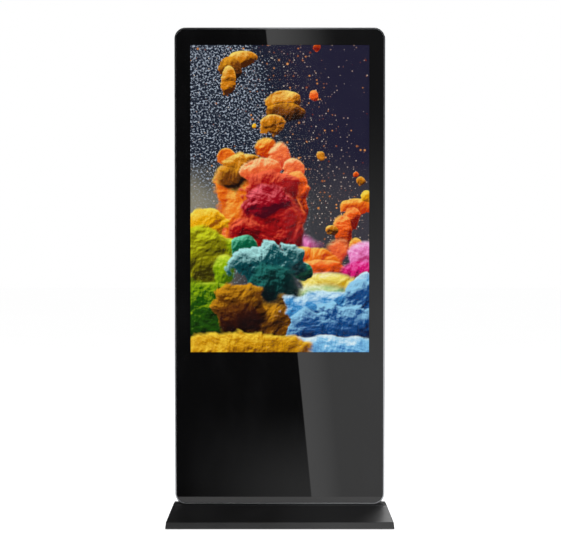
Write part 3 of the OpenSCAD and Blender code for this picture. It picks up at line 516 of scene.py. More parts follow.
def picture_material():
    """The lit picture: coloured powder thrown up in front of dark blue, with drifting dust."""
    made, graph, shader, place = material("Lit picture")
    part = graph.add("ShaderNodeSeparateXYZ", Vector=place).outputs
    across = graph.math("MULTIPLY_ADD", part["X"], 1 / SCREEN_W, 0.5)
    up = graph.math("MULTIPLY_ADD", part["Z"], 1 / SCREEN_W, -SCREEN_LOW / SCREEN_W)
    point = graph.add("ShaderNodeCombineXYZ", X=across, Y=up).outputs[0]
    height = graph.group("Powder relief", Point=point)["Height"]
    towards_light = graph.vector("ADD", point, (-0.005, 0.008, 0.0))
    beyond = graph.group("Powder relief", Point=towards_light)["Height"]
    depth = 4.6 * picture().relief
    slope = graph.math("MULTIPLY", graph.math("SUBTRACT", height, beyond), depth)
    rough = graph.math("SUBTRACT", height, 0.28)
    folds = graph.add("ShaderNodeCombineXYZ", X=graph.math("MULTIPLY", slope, 0.01),
                      Y=graph.math("MULTIPLY", rough, 0.06)).outputs[0]
    folded = graph.vector("ADD", point, folds)

    # Dark sky, dustier to the left and hazier low down
    drift = graph.noise(point, 3.0, 3.0)
    side = graph.math("ADD", across, graph.math("MULTIPLY_ADD", up, 0.324, -1.02))
    right = graph.smooth(graph.math("MULTIPLY_ADD", drift, 0.3, side), -0.05, 0.3)
    sky = graph.mix(right, srgb(24, 31, 46), srgb(31, 29, 52))
    low = graph.smooth(graph.math("MULTIPLY_ADD", drift, 0.3, up), 1.26, 0.98)
    haze = graph.math("MULTIPLY", low, graph.smooth(across, 0.34, 0.02, 0.1, 0.85))
    colour = graph.mix(haze, sky, srgb(150, 145, 126))
    fine = graph.noise(point, 88.0, 1.5, roughness=0.8)
    thick = graph.math("MULTIPLY_ADD", up, 0.05, graph.math("MULTIPLY_ADD", right, -0.34, fine))
    dust = graph.smooth(thick, 0.59, 0.68)
    dusted = graph.math("MULTIPLY", dust, graph.smooth(low, 0.0, 1.0, 0.95, 0.4))
    colour = graph.mix(dusted, colour, srgb(172, 184, 200))
    for scale, density, tint in ((46.0, 0.18, (240, 160, 80)), (84.0, 0.22, (236, 222, 206))):
        near = graph.smooth(graph.math("ABSOLUTE", graph.math("SUBTRACT", side, 0.02)), 0.0, 0.34, 1.0, 0.16)
        specks = graph.group("Dust specks", Point=point, Scale=scale,
                             Density=graph.math("MULTIPLY", near, density))
        ember = graph.mix(specks["Tone"], srgb(120, 40, 16), srgb(*tint))
        colour = graph.mix(specks["Specks"], colour, ember)

    crumbs = [(centre, (radius, radius), tones, 0.3636, 0.12) for centre, radius, tones in BALLS]
    for (x, y), (wide, tall), tones, ragged, soft in CLOUDS + crumbs:
        cloud = graph.group("Cloud", Point=folded, Centre=(x, y, 0), Radii=(wide, tall, 1), Height=rough,
                            Slope=slope, Ragged=2.2 * ragged, Soft=soft)
        shadow, body, light = (srgb(*tone) for tone in tones)
        shade = graph.ramp(cloud["Shade"], [(0.08, shadow), (0.5, body), (0.95, light)])
        colour = graph.mix(cloud["Mask"], colour, shade)

    grain = graph.noise(point, 260.0, 2.0, roughness=0.7)
    gain = graph.smooth(grain, 0.3, 0.7, 0.82, 1.16)
    shader.inputs["Base Color"].default_value = (0.004, 0.004, 0.005, 1)
    shader.inputs["Roughness"].default_value = 0.4
    shader.inputs["Specular IOR Level"].default_value = 0.0
    graph.feed(shader.inputs["Emission Color"], graph.scaled(colour, gain))
    shader.inputs["Emission Strength"].default_value = picture().brightness
    return made


def board_material():
    made, graph, shader, place = material("Circuit board")
    tracks = graph.group("Circuit tracks", Vector=place)["Tracks"]
    mask = tuple(finish().board)
    toned(graph, shader, tracks, mask, lighter(mask, 2.2), 0.35, -0.1)
    bump(graph, shader, tracks, 0.04 * MM)
    return made


def sheet_material():
    """Milky diffuser with a fine prismatic ribbing, with painted shade: darker in each groove, lighter on
    each crest.
    """
    made, graph, shader, place = material("Diffuser")
    part = graph.add("ShaderNodeSeparateXYZ", Vector=place).outputs
    rib = 0.4 * MM
    level = graph.math("MULTIPLY", graph.math("PINGPONG", part["X"], rib), 1 / rib)
    # Painted shade: the colour runs from darker in each groove to lighter on each crest, on top of the bump.
    toned(graph, shader, level, srgb(224, 228, 232), srgb(244, 246, 248), 0.35, 0.1)
    bump(graph, shader, level, 0.05 * MM)
    return made


def floor_material():
    made, graph, shader, place = material("Studio floor")
    drift = graph.noise(place, 0.7, 3.0)
    graph.feed(shader.inputs["Base Color"], graph.mix(drift, srgb(226, 226, 226), srgb(232, 232, 232)))
    shader.inputs["Roughness"].default_value = 0.75
    shader.inputs["Emission Color"].default_value = (1, 1, 1, 1)
    shader.inputs["Emission Strength"].default_value = 0.78
    return made


MATERIALS = {}


def used(name):
    """The shared material of that name, made once."""
    if name not in MATERIALS:
        colours = finish()
        makers = {
            "powder": powder_material,
            "trim": lambda: metal_material("Anodised trim", colours.trim, 0.3, 0.12),
            "zinc": lambda: metal_material("Zinc plate", colours.zinc, 0.3, 0.2, (0.12, 1, 1)),
            "bright": lambda: metal_material("Bright plate", srgb(214, 216, 220), 0.14, 0.12),
            "brass": lambda: metal_material("Brass", srgb(204, 168, 96), 0.25, 0.15),
            "box steel": lambda: metal_material("Grey steel", srgb(120, 122, 126), 0.4, 0.15, (0.15, 1, 1)),
            "dark steel": lambda: metal_material("Black oxide", srgb(48, 49, 52), 0.38, 0.14, (1, 1, 0.2)),
            "black plastic": lambda: plastic_material("Black plastic", srgb(26, 26, 28), 0.42),
            "chip": lambda: plastic_material("Chip resin", srgb(30, 31, 33), 0.5),
            "rubber": lambda: plastic_material("Black rubber", srgb(20, 20, 21), 0.7),
            "rocker": lambda: plastic_material("Rocker red", colours.rocker, 0.3),
            "jacket": lambda: plastic_material("Cable jacket", srgb(18, 18, 19), 0.5),
            "red jacket": lambda: plastic_material("Red jacket", srgb(140, 18, 16), 0.45),
            "white plastic": lambda: plastic_material("White plastic", srgb(216, 214, 206), 0.45),
            "border glass": border_glass_material,
            "screen glass": screen_glass_material,
            "film": film_material,
            "picture": picture_material,
            "board": board_material,
            "sheet": sheet_material,
        }
        MATERIALS[name] = makers[name]()
    return MATERIALS[name]


# ---- Mesh helpers ----

def new_piece(name, bm, body, replaces=(), materials=(), smooth_angle=40, slot=None):
    """Turns a bmesh into a finished piece that rides on a body."""
    mesh = bpy.data.meshes.new(name)
    bm.to_mesh(mesh)
    bm.free()
    piece = bpy.data.objects.new(name, mesh)
    bpy.context.scene.collection.objects.link(piece)
    for made in materials:
        mesh.materials.append(used(made))
    mesh.polygons.foreach_set("use_smooth", [True] * len(mesh.polygons))
    mesh.set_sharp_from_angle(angle=math.radians(smooth_angle))
    modifier = piece.modifiers.new("Weighted normals", "WEIGHTED_NORMAL")
    modifier.keep_sharp = True
    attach(piece, body)
    if replaces:
        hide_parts(*replaces)
    slot or slot_of(replaces[0])
    return piece


def verts_of(geometry):
    """The vertices among what an operator gives back."""
    return [item for item in geometry if isinstance(item, bmesh.types.BMVert)]


def edges_of(geometry):
    """The edges among what an operator gives back."""
    return [item for item in geometry if isinstance(item, bmesh.types.BMEdge)]


def slot_of(node):
    return next(part["material_slot"] for part in frame["record"]["subparts"] if part["node"] == node)


def body_of(node):
    bodies = frame["record"]["behaviour"]["bodies"]
    return next(body for body, members in bodies.items() if node in members)


def merged(node):
    """A copy of a CAD node's mesh with its triangles joined into whole faces."""
    bm = bmesh.new()
    bm.from_mesh(frame["nodes"][node].data)
    bmesh.ops.remove_doubles(bm, verts=bm.verts[:], dist=0.005 * MM)
    bmesh.ops.dissolve_limit(bm, angle_limit=math.radians(0.6), verts=bm.verts[:], edges=bm.edges[:])
    return bm


def bevel_edges(bm, edges, width, segments):
    bmesh.ops.bevel(bm, geom=edges, offset=width, offset_type="OFFSET", segments=segments, profile=0.5,
                    affect="EDGES", clamp_overlap=False, material=-1)


def refined(node, width, material_name, segments=2, wanted=None, angle=35):
    """Replaces a CAD node with a copy whose edges are rounded."""
    bm = merged(node)
    sharp = [edge for edge in bm.edges if len(edge.link_faces) == 2
             and edge.calc_face_angle(0.0) > math.radians(angle) and (wanted is None or wanted(edge))]
    if sharp and width:
        bevel_edges(bm, sharp, width, segments)
    names = [material_name] if isinstance(material_name, str) else material_name
    return new_piece(node + ".finished", outward(bm), body_of(node), [node], names)


def keep_node(node, material_name):
    """Gives a CAD node whose shape is right its material."""
    mesh = frame["nodes"][node].data
    mesh.materials.clear()
    mesh.materials.append(used(material_name))


def rounded_plate(width, low_z, high_z, radius, front_y, back_y, edge, steps=14, cuts=()):
    """Upright plate with round corners, centred on X, with its front edge eased."""
    bm = bmesh.new()
    bmesh.ops.create_grid(bm, x_segments=1, y_segments=1, size=0.5)
    bmesh.ops.scale(bm, vec=(width, high_z - low_z, 1), verts=bm.verts)
    bmesh.ops.bevel(bm, geom=bm.verts[:], offset=radius, offset_type="OFFSET", segments=steps, profile=0.5,
                    affect="VERTICES", clamp_overlap=False, material=-1)
    bmesh.ops.rotate(bm, matrix=Matrix.Rotation(math.radians(90), 3, "X"), verts=bm.verts)
    bmesh.ops.translate(bm, vec=(0, front_y, (low_z + high_z) / 2), verts=bm.verts)
    faces = bmesh.ops.extrude_face_region(bm, geom=bm.faces[:])["geom"]
    bmesh.ops.translate(bm, vec=(0, back_y - front_y, 0), verts=verts_of(faces))
    bmesh.ops.recalc_face_normals(bm, faces=bm.faces[:])
    rim = [e for e in bm.edges if e.calc_face_angle(0.0) > math.radians(60)]
    if edge:
        bevel_edges(bm, rim, edge, 3)
    for point, normal in cuts:
        everything = bm.verts[:] + bm.edges[:] + bm.faces[:]
        bmesh.ops.bisect_plane(bm, geom=everything, plane_co=point, plane_no=normal)
    return bm


def sweep_round(profile, width, low_z, high_z, radius, steps=20):
    """Ring swept round an upright rounded outline.

    The profile is a list of (inwards, y) points: the distance in from the outline, and the depth."""
    bm = bmesh.new()
    half = width / 2 - radius
    bottom = low_z + radius
    top = high_z - radius
    points = [bm.verts.new((half - inwards + radius, y, bottom)) for inwards, y in profile]
    loop = [bm.edges.new((a, b)) for a, b in zip(points, points[1:] + points[:1])]
    corners = [(half, top), (-half, top), (-half, bottom), (half, bottom)]
    runs = [(0, top - bottom), (-2 * half, 0), (0, bottom - top), (2 * half, 0)]
    edges = loop
    for (x, z), (dx, dz) in zip(corners, runs):
        made = bmesh.ops.extrude_edge_only(bm, edges=edges)["geom"]
        bmesh.ops.translate(bm, vec=(dx, 0, dz), verts=verts_of(made))
        edges = [e for e in edges_of(made) if all(v in made for v in e.verts)]
        made = bmesh.ops.spin(bm, geom=edges, cent=(x, 0, z), axis=(0, -1, 0), angle=math.radians(90),
                              steps=steps, use_merge=False)["geom_last"]
        edges = edges_of(made)
    bmesh.ops.remove_doubles(bm, verts=bm.verts[:], dist=0.01 * MM)
    bmesh.ops.recalc_face_normals(bm, faces=bm.faces[:])
    return bm


def box_between(bm, low, high):
    """Adds a box between two corners and gives back its vertices."""
    made = bmesh.ops.create_cube(bm, size=1.0)["verts"]
    size = Vector(high) - Vector(low)
    bmesh.ops.scale(bm, vec=size, verts=made)
    bmesh.ops.translate(bm, vec=(Vector(low) + Vector(high)) / 2, verts=made)
    return made


def can(bm, x, z, radius, back_y, front_y, segments=20):
    """Adds an upright can along Y with a rolled rim, such as a capacitor."""
    depth = abs(front_y - back_y)
    made = bmesh.ops.create_cone(bm, cap_ends=True, segments=segments, radius1=radius, radius2=radius,
                                 depth=depth)["verts"]
    rim = [e for e in set(e for v in made for e in v.link_edges) if e.calc_face_angle(0.0) > math.radians(60)]
    bmesh.ops.rotate(bm, matrix=Matrix.Rotation(math.radians(90), 3, "X"), verts=made)
    bmesh.ops.translate(bm, vec=(x, (front_y + back_y) / 2, z), verts=made)
    bevel_edges(bm, rim, radius * 0.15, 2)
    return made


def islands(node):
    """Corner pairs of the boxes round each loose solid of a CAD node, from left to right."""
    bm = bmesh.new()
    bm.from_mesh(frame["nodes"][node].data)
    bmesh.ops.remove_doubles(bm, verts=bm.verts[:], dist=0.005 * MM)
    left = set(bm.verts)
    boxes = []
    while left:
        reached = [left.pop()]
        low = reached[0].co.copy()
        high = low.copy()
        while reached:
            vert = reached.pop()
            for axis in range(3):
                low[axis] = min(low[axis], vert.co[axis])
                high[axis] = max(high[axis], vert.co[axis])
            for edge in vert.link_edges:
                other = edge.other_vert(vert)
                if other in left:
                    left.discard(other)
                    reached.append(other)
        boxes.append((low, high))
    bm.free()
    return sorted(boxes, key=lambda box: (round(box[0].x, 4), round(box[0].z, 4)))


def turned(bm, profile, centre, steps=24):
    """Adds a solid of revolution about an axis along Y; the profile is a list of (radius, y) points."""
    points = [bm.verts.new((radius, y, 0)) for radius, y in profile]
    edges = [bm.edges.new(pair) for pair in zip(points, points[1:])]
    made = bmesh.ops.spin(bm, geom=points + edges, cent=(0, 0, 0), axis=(0, 1, 0), angle=math.radians(360),
                          steps=steps, use_merge=True)["geom_last"]
    verts = set(points)
    waiting = list(points)
    while waiting:
        for edge in waiting.pop().link_edges:
            for vert in edge.verts:
                if vert not in verts:
                    verts.add(vert)
                    waiting.append(vert)
    verts = list(verts)
    bmesh.ops.remove_doubles(bm, verts=verts, dist=0.002 * MM)
    verts = [vert for vert in verts if vert.is_valid]
    bmesh.ops.translate(bm, vec=centre, verts=verts)
    return verts


def socket_screw(bm, centre, radius, head, socket, out=1):
    """Adds a rounded screw head with a six-sided socket; centre is on the face that it sits on."""
    face = out * head
    profile = [(radius, 0), (radius, 0.35 * face), (0.9 * radius, 0.8 * face), (0.72 * radius, face),
               (1.12 * socket, face), (socket, 0.92 * face), (socket, 0.25 * face), (0, 0.2 * face)]
    verts = turned(bm, profile, (0, 0, 0))
    for vert in verts:
        reach = math.hypot(vert.co.x, vert.co.z)
        if 0.5 * socket < reach < 1.05 * socket:
            turn = math.atan2(vert.co.z, vert.co.x) % math.radians(60) - math.radians(30)
            scale = math.cos(math.radians(30)) / math.cos(turn)
            vert.co.x *= scale
            vert.co.z *= scale
    bmesh.ops.translate(bm, vec=centre, verts=verts)


def eased_box(bm, low, high, edge):
    """Adds a box with eased edges."""
    verts = box_between(bm, low, high)
    edges = list({edge_of for vert in verts for edge_of in vert.link_edges})
    bevel_edges(bm, edges, edge, 1)


def outward(bm):
    bmesh.ops.recalc_face_normals(bm, faces=bm.faces[:])
    return bm


def by_region(piece, choose):
    """Sets each face's material from its centre."""
    for face in piece.data.polygons:
        face.material_index = choose(face.center)


# ---- Operators ----

class KIOSK_OT_front_glass(bpy.types.Operator):
    """Front glass, printed black round a clear window, with its film and border"""

    bl_idname = "kiosk.front_glass"
    bl_label = "Front glass"

    def execute(self, context):
        half = SCREEN_W / 2
        cuts = [((half, 0, 0), (1, 0, 0)), ((-half, 0, 0), (1, 0, 0)),
                ((0, 0, SCREEN_LOW), (0, 0, 1)), ((0, 0, SCREEN_HIGH), (0, 0, 1))]
        radius = CORNER - (GLASS_LOW.x - BODY_LOW.x)
        bm = rounded_plate(GLASS_HIGH.x - GLASS_LOW.x, GLASS_LOW.z, GLASS_HIGH.z, radius, GLASS_LOW.y,
                           GLASS_HIGH.y, sizes().glass_edge, cuts=cuts)
        for face in bm.faces:
            centre = face.calc_center_median()
            in_window = abs(centre.x) < half and SCREEN_LOW < centre.z < SCREEN_HIGH
            face.material_index = 1 if in_window else 0
        new_piece("front_glass.finished", bm, "kiosk", ["front_glass"], ["border glass", "screen glass"])
        keep_node("printed_border", "border glass")
        keep_node("touch_film", "film")
        keep_node("glass_tape", "rubber")
        return {"FINISHED"}


class KIOSK_OT_trim(bpy.types.Operator):
    """Anodised trim round the glass, with a softly crowned front"""

    bl_idname = "kiosk.trim"
    bl_label = "Trim"

    def execute(self, context):
        wide = 6 * MM
        front = TRIM_LOW.y
        back = TRIM_HIGH.y
        crown = 4 * MM
        arc = [(crown * (1 - math.cos(a)), front + crown * (1 - math.sin(a)))
               for a in (math.radians(15 * step) for step in range(7))]
        profile = [(0, back)] + arc + [(wide - 0.3 * MM, front), (wide, front + 0.3 * MM), (wide, back)]
        bm = sweep_round(profile, TRIM_HIGH.x - TRIM_LOW.x, TRIM_LOW.z, TRIM_HIGH.z, CORNER)
        new_piece("trim_frame.finished", bm, "kiosk", ["trim_frame"], ["trim"], smooth_angle=30)
        return {"FINISHED"}


class KIOSK_OT_display(bpy.types.Operator):
    """Display module behind the glass, with its lit picture"""

    bl_idname = "kiosk.display"
    bl_label = "Display"

    def execute(self, context):
        keep_node("lcd_cell", "picture")
        for node, name in (("lcd_bezel", "dark steel"), ("optical_sheets", "sheet"),
                           ("backlight_tray", "zinc"), ("led_strips", "white plastic"),
                           ("board_spacers", "brass")):
            keep_node(node, name)
        return {"FINISHED"}


class KIOSK_OT_casing(bpy.types.Operator):
    """Casing ring, rear panel, service door and its seal"""

    bl_idname = "kiosk.casing"
    bl_label = "Casing"

    def execute(self, context):
        edge = sizes().shell_edge
        refined("side_frame", 0.0, "powder")

        def at_the_back(rim):
            return all(vert.co.y > BODY_REAR - 0.1 * MM for vert in rim.verts)

        for node in ("rear_panel", "service_door"):
            refined(node, edge * 0.5, "powder", wanted=at_the_back)
        keep_node("door_seal", "rubber")
        return {"FINISHED"}


class KIOSK_OT_base(bpy.types.Operator):
    """Folded base cover, base plate, posts and levelling feet"""

    bl_idname = "kiosk.base"
    bl_label = "Base"

    def execute(self, context):
        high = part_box("base_cover")[1]

        def outside(edge):
            a, b = (v.co for v in edge.verts)
            level = abs(a.z - b.z) < 0.1 * MM
            far_out = abs(a.x) > -BODY_LOW.x or abs(a.y) > 0.5 * high.y
            return a.z > 3 * MM and (not level or far_out or a.z > high.z - 0.1 * MM)

        refined("base_cover", sizes().fold, "powder", segments=3, wanted=outside, angle=8)
        refined("base_plate", 0.6 * MM, "powder")
        for node in ("post_left", "post_right", "post_feet"):
            keep_node(node, "powder")
        for corner in ("front_left", "front_right", "rear_left", "rear_right"):
            foot = refined("foot_" + corner, 0.0, ["rubber", "zinc"])
            by_region(foot, lambda centre: int(centre.z > PAD_TOP + 0.01 * MM))
        return {"FINISHED"}


class KIOSK_OT_hardware(bpy.types.Operator):
    """Screws, nuts, bolts, hinges and locks"""

    bl_idname = "kiosk.hardware"
    bl_label = "Hardware"

    def execute(self, context):
        fine = sizes().fine_edge
        for node in ("hinge_frame_leaves", "hinge_door_leaves"):
            refined(node, fine, "dark steel")
            bm = bmesh.new()
            for low, high in islands(node):
                flat = (low.x + 7 * MM) if node == "hinge_frame_leaves" else (high.x - 7 * MM)
                for share in (0.15, 0.85):
                    z = low.z + share * (high.z - low.z)
                    socket_screw(bm, (flat, BODY_REAR + 1.5 * MM, z), 3.2 * MM, 1.1 * MM, 1.3 * MM)
            new_piece(node + ".screws", outward(bm), body_of(node), (), ["zinc"], slot="dark_hardware")
        for node in ("hinge_pins", "base_fasteners", "crossbars", "equipment_tray"):
            keep_node(node, "zinc")
        bm = bmesh.new()
        for low, high in islands("panel_screws"):
            place = ((low.x + high.x) / 2, BODY_REAR, (low.z + high.z) / 2)
            socket_screw(bm, place, 4 * MM, high.y - BODY_REAR, 1.6 * MM)
            turned(bm, [(0, 0), (2 * MM, 0), (2 * MM, low.y - BODY_REAR + 0.4 * MM),
                        (1.6 * MM, low.y - BODY_REAR), (0, low.y - BODY_REAR)], place, steps=12)
        new_piece("panel_screws.finished", outward(bm), "kiosk", ["panel_screws"], ["dark steel"])
        refined("lock_housings", fine, "bright")
        for node in ("lock_barrel_upper", "lock_barrel_lower"):
            refined(node, fine * 0.6, "bright")
        for node in ("lock_cam_upper", "lock_cam_lower"):
            refined(node, fine, "zinc")
        return {"FINISHED"}


class KIOSK_OT_electronics(bpy.types.Operator):
    """Boards, media box and power supply in the bay, with their parts"""

    bl_idname = "kiosk.electronics"
    bl_label = "Electronics"

    def execute(self, context):
        boards = ("timing_board", "led_driver_board", "touch_controller", "media_board", "amplifier_board")
        for seed, node in enumerate(boards):
            self.board(node, seed)
        for node in ("media_box", "power_supply"):
            refined(node, sizes().fine_edge, "box steel")
            self.box_screws(node)
        return {"FINISHED"}

    def board(self, node, seed):
        """Board with dark packages, pins, small chips and cans."""
        low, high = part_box(node)
        face_y = low.y + BOARD_T
        made = refined(node, 0.0, ["board", "chip"])
        by_region(made, lambda centre: int(centre.y > face_y + 0.02 * MM))
        taken = []
        for face in made.data.polygons:
            if face.material_index and face.normal.y > 0.9:
                corners = [made.data.vertices[i].co for i in face.vertices]
                taken.append((min(c.x for c in corners), min(c.z for c in corners),
                              max(c.x for c in corners), max(c.z for c in corners)))
        draw = random.Random(seed)
        chips, cans, pins = bmesh.new(), bmesh.new(), bmesh.new()

        def free(x, z, wide, tall):
            room = 1.2 * MM
            x_low, x_high, z_low, z_high = x - wide - room, x + wide + room, z - tall - room, z + tall + room
            return all(x_high < a or x_low > c or z_high < b or z_low > d for a, b, c, d in taken)

        for x0, z0, x1, z1 in list(taken):
            count = max(2, int((z1 - z0) / (1.6 * MM)))
            for k in range(count):
                z = z0 + (k + 0.5) * (z1 - z0) / count
                for x in (x0 - 0.5 * MM, x1 + 0.5 * MM):
                    box_between(pins, (x - 0.5 * MM, face_y, z - 0.25 * MM),
                                (x + 0.5 * MM, face_y + 0.5 * MM, z + 0.25 * MM))
        area = (high.x - low.x) * (high.z - low.z)
        for _ in range(int(area / (40 * MM * MM))):
            wide, tall = draw.choice(((1.0, 0.5), (0.5, 1.0), (1.6, 0.8), (2.2, 1.6), (3.0, 3.0)))
            wide, tall = wide * MM, tall * MM
            x = draw.uniform(low.x + 5 * MM, high.x - 5 * MM)
            z = draw.uniform(low.z + 4 * MM, high.z - 4 * MM)
            if not free(x, z, wide, tall):
                continue
            taken.append((x - wide, z - tall, x + wide, z + tall))
            if wide >= 3 * MM:
                can(cans, x, z, 3 * MM, face_y, face_y + 4.5 * MM)
            else:
                box_between(chips, (x - wide, face_y, z - tall), (x + wide, face_y + 0.8 * MM, z + tall))
        body = body_of(node)
        new_piece(node + ".chips", outward(chips), body, (), ["chip"], slot="black_plastic")
        new_piece(node + ".cans", outward(cans), body, (), ["bright"], slot="socket_shell")
        new_piece(node + ".pins", outward(pins), body, (), ["bright"], slot="socket_shell")

    def box_screws(self, node):
        """Cover screws near the corners of a steel box."""
        low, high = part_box(node)
        bm = bmesh.new()
        for x in (low.x + 7 * MM, high.x - 7 * MM):
            for z in (low.z + 7 * MM, high.z - 7 * MM):
                socket_screw(bm, (x, high.y, z), 2.8 * MM, 1.6 * MM, 1.1 * MM)
        new_piece(node + ".screws", outward(bm), body_of(node), (), ["bright"], slot="socket_shell")


class KIOSK_OT_fittings(bpy.types.Operator):
    """Sockets, power button, power inlet and mains rocker"""

    bl_idname = "kiosk.fittings"
    bl_label = "Fittings"

    def execute(self, context):
        fine = sizes().fine_edge
        for node in ("port_plate", "inlet_plate"):
            keep_node(node, "box steel")
        refined("port_sockets", fine * 0.6, "bright")
        self.socket_inserts()
        refined("button_housing", fine, "black plastic")
        refined("power_button", 0.0, "bright")
        inlet = refined("power_inlet", fine, ["black plastic", "bright"])
        low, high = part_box("power_inlet")
        centre = (low + high) / 2

        def pins(place):
            among = abs(place.x - centre.x) < 8.1 * MM and -4.1 * MM < place.z - centre.z < 5.1 * MM
            return int(among and high.y - 19 * MM < place.y < high.y - 3 * MM)

        by_region(inlet, pins)
        refined("switch_housing", fine, "black plastic")
        refined("power_rocker", fine * 1.5, "rocker")
        return {"FINISHED"}

    def socket_inserts(self):
        """Tongue of each small socket, and the contacts of the network socket."""
        tongues, contacts = bmesh.new(), bmesh.new()
        for low, high in islands("port_sockets"):
            x, z = (low.x + high.x) / 2, (low.z + high.z) / 2
            back = low.y + 1 * MM
            if high.z - low.z < 10 * MM:
                eased_box(tongues, (x - 5 * MM, back, z - 0.2 * MM),
                          (x + 5 * MM, high.y - 2 * MM, z + 1.8 * MM), 0.2 * MM)
                for k in range(4):
                    place = x + (k - 1.5) * 2.4 * MM
                    box_between(contacts, (place - 0.6 * MM, back, z - 0.45 * MM),
                                (place + 0.6 * MM, high.y - 3 * MM, z - 0.2 * MM))
            else:
                for k in range(8):
                    place = x + (k - 3.5) * 1.1 * MM
                    made = box_between(contacts, (place - 0.25 * MM, back, z + 1 * MM),
                                       (place + 0.25 * MM, high.y - 3 * MM, z + 1.4 * MM))
                    bmesh.ops.rotate(contacts, cent=(place, back, z + 1 * MM),
                                     matrix=Matrix.Rotation(math.radians(14), 3, "X"), verts=made)
        new_piece("port_sockets.tongues", outward(tongues), "kiosk", (), ["white plastic"],
                  slot="black_plastic")
        new_piece("port_sockets.contacts", outward(contacts), "kiosk", (), ["brass"], slot="socket_shell")


class KIOSK_OT_fans_and_speakers(bpy.types.Operator):
    """Cooling fans and speakers behind the rear panel"""

    bl_idname = "kiosk.fans_and_speakers"
    bl_label = "Fans and speakers"

    def execute(self, context):
        for side in ("left", "right"):
            for node in ("fan_frame_", "fan_rotor_", "speaker_"):
                refined(node + side, 0.0, "black plastic")
        return {"FINISHED"}


class KIOSK_OT_leads(bpy.types.Operator):
    """Leads held inside the casing"""

    bl_idname = "kiosk.leads"
    bl_label = "Leads"

    def execute(self, context):
        for node, name in (("mains_lead", "jacket"), ("display_cable", "jacket"),
                           ("low_voltage_leads", "red jacket")):
            lead = refined(node, 0.0, name)
            lead.data.set_sharp_from_angle(angle=math.radians(70))
        return {"FINISHED"}


# Card that the glass mirrors: its depth, the slope and start of its bright edge, and its strength
CARD_Y = -0.6
CARD_LEAN = 0.0977
CARD_START = 0.1327
CARD_GLOW = 1.45


def area_light(name, place, target, size, power, glossy=False):
    lamp = bpy.data.lights.new(name, "AREA")
    lamp.shape = "RECTANGLE"
    lamp.size, lamp.size_y = size
    lamp.energy = power
    light = bpy.data.objects.new(name, lamp)
    bpy.context.scene.collection.objects.link(light)
    light.location = place
    light.rotation_euler = (Vector(target) - Vector(place)).to_track_quat("-Z", "Y").to_euler()
    light.visible_camera = False
    light.visible_glossy = glossy
    return light


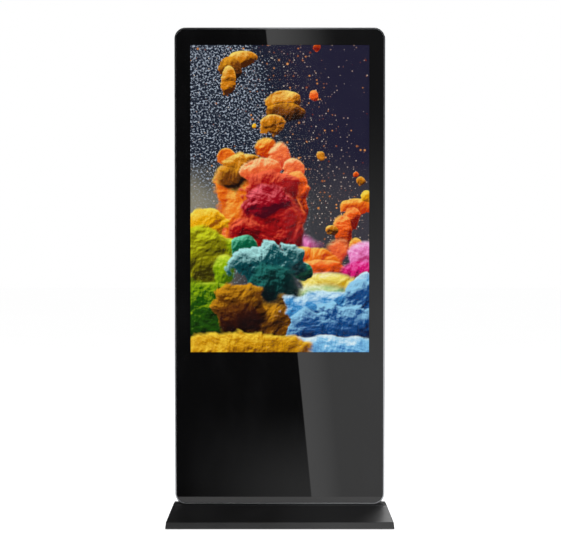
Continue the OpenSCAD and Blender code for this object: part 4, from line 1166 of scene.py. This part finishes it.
class KIOSK_OT_stage(bpy.types.Operator):
    """Pale floor, soft lights and the camera"""

    bl_idname = "kiosk.stage"
    bl_label = "Stage"

    def execute(self, context):
        scene = context.scene
        scene.view_settings.view_transform = "Standard"
        bm = bmesh.new()
        bmesh.ops.create_grid(bm, x_segments=1, y_segments=1, size=30.0)
        mesh = bpy.data.meshes.new("studio_floor")
        bm.to_mesh(mesh)
        bm.free()
        mesh.materials.append(floor_material())
        floor = bpy.data.objects.new("studio_floor", mesh)
        scene.collection.objects.link(floor)
        self.glare_card(scene)
        self.sky(scene)
        area_light("Key light", (-1.8, -2.2, 4.2), (0, 0, 0.6), (2.4, 2.4), 60)
        area_light("Fill light", (2.6, -1.6, 3.2), (0, 0, 0.8), (2.0, 2.0), 40)
        area_light("Rear light", (1.4, 2.8, 3.2), (0, 0, 0.9), (2.4, 1.6), 70, glossy=True)
        area_light("Low front light", (0.0, -2.6, 0.5), (0, 0, 0.1), (3.0, 0.3), 12)
        self.camera(scene)
        return {"FINISHED"}

    def glare_card(self, scene):
        """Soft card whose slanted edge shows in the glass as one long diagonal highlight."""
        bm = bmesh.new()
        bmesh.ops.create_grid(bm, x_segments=1, y_segments=1, size=1.3)
        bmesh.ops.rotate(bm, matrix=Matrix.Rotation(math.radians(90), 3, "X"), verts=bm.verts)
        bmesh.ops.translate(bm, vec=(0, CARD_Y, 0.95), verts=bm.verts)
        mesh = bpy.data.meshes.new("glare_card")
        bm.to_mesh(mesh)
        bm.free()
        made = bpy.data.materials.new("Glare card")
        made.use_nodes = True
        made.node_tree.nodes.clear()
        graph = Graph(made.node_tree)
        part = graph.add("ShaderNodeSeparateXYZ",
                         Vector=graph.add("ShaderNodeTexCoord").outputs["Object"]).outputs
        lean = graph.math("MULTIPLY_ADD", part["Z"], -CARD_LEAN, CARD_START)
        past = graph.math("SUBTRACT", part["X"], lean)
        near = graph.smooth(past, -0.002, 0.002)
        wide = graph.smooth(part["Z"], 0.5, 1.75, 0.68, 0.07)
        fade = graph.smooth(past, 0.0, 0.34, 1.0, 0.0)
        right = graph.math("MAXIMUM", wide, fade)
        left = graph.math("MULTIPLY", graph.smooth(past, -0.62, 0.02, 0.0, 0.34),
                          graph.smooth(part["Z"], 0.0, 0.4, 1.0, 0.0))
        level = graph.add("ShaderNodeMix", {"data_type": "FLOAT"}, Factor=near, A=left, B=right).outputs[0]
        strength = graph.math("MULTIPLY", level, CARD_GLOW)
        glow = graph.add("ShaderNodeEmission", Strength=strength)
        graph.add("ShaderNodeOutputMaterial", Surface=glow.outputs[0])
        mesh.materials.append(made)
        card = bpy.data.objects.new("glare_card", mesh)
        scene.collection.objects.link(card)
        card.visible_camera = False
        card.visible_diffuse = False
        card.visible_shadow = False
        card.visible_transmission = False

    def sky(self, scene):
        """White to the camera, a soft grey to what it lights and dark in reflections."""
        world = bpy.data.worlds.new("Studio")
        world.use_nodes = True
        world.node_tree.nodes.clear()
        graph = Graph(world.node_tree)
        path = graph.add("ShaderNodeLightPath").outputs
        seen, soft, dark = (
            graph.add("ShaderNodeBackground", Color=(1, 1, 1, 1), Strength=strength).outputs[0]
            for strength in (1.0, 0.3, 0.05))

        def choose(factor, first, second):
            node = graph.add("ShaderNodeMixShader")
            for socket, value in zip(node.inputs, (factor, first, second)):
                graph.feed(socket, value)
            return node.outputs[0]

        lighting = choose(path["Is Glossy Ray"], soft, dark)
        graph.add("ShaderNodeOutputWorld", Surface=choose(path["Is Camera Ray"], lighting, seen))
        scene.world = world

    def camera(self, scene):
        lens = bpy.data.cameras.new("Camera")
        lens.lens = 100.65
        lens.sensor_width = 36.0
        lens.shift_x = 0.0012
        lens.clip_end = 100.0
        camera = bpy.data.objects.new("Camera", lens)
        scene.collection.objects.link(camera)
        camera.location = (0.0, -5.992, 1.0706)
        camera.rotation_euler = (math.radians(90 - 1.3513), 0, 0)
        scene.camera = camera


class KIOSK_PT_panel(bpy.types.Panel):
    """Builds the kiosk piece by piece"""

    bl_label = "Kiosk"
    bl_idname = "KIOSK_PT_panel"
    bl_space_type = "VIEW_3D"
    bl_region_type = "UI"
    bl_category = "Kiosk"

    def draw(self, context):
        layout = self.layout
        for settings in (context.scene.kiosk_finish, context.scene.kiosk_sizes, context.scene.kiosk_picture):
            column = layout.column()
            for name in settings.__annotations__:
                column.prop(settings, name)
        for operator in OPERATORS:
            layout.operator(operator.bl_idname)


OPERATORS = (
    KIOSK_OT_front_glass,
    KIOSK_OT_trim,
    KIOSK_OT_display,
    KIOSK_OT_casing,
    KIOSK_OT_base,
    KIOSK_OT_hardware,
    KIOSK_OT_electronics,
    KIOSK_OT_fittings,
    KIOSK_OT_fans_and_speakers,
    KIOSK_OT_leads,
    KIOSK_OT_stage,
)
SETTINGS = {"kiosk_finish": KioskFinish, "kiosk_sizes": KioskSizes, "kiosk_picture": KioskPicture}


def register():
    for group in SETTINGS.values():
        bpy.utils.register_class(group)
    for operator in OPERATORS:
        bpy.utils.register_class(operator)
    bpy.utils.register_class(KIOSK_PT_panel)
    for name, group in SETTINGS.items():
        setattr(bpy.types.Scene, name, bpy.props.PointerProperty(type=group))


def unregister():
    for name in SETTINGS:
        delattr(bpy.types.Scene, name)
    bpy.utils.unregister_class(KIOSK_PT_panel)
    for operator in reversed(OPERATORS):
        bpy.utils.unregister_class(operator)
    for group in SETTINGS.values():
        bpy.utils.unregister_class(group)


def main():
    register()
    for operator in OPERATORS:
        group, name = operator.bl_idname.split(".")
        getattr(getattr(bpy.ops, group), name)()


if __name__ == "__main__":
    main()
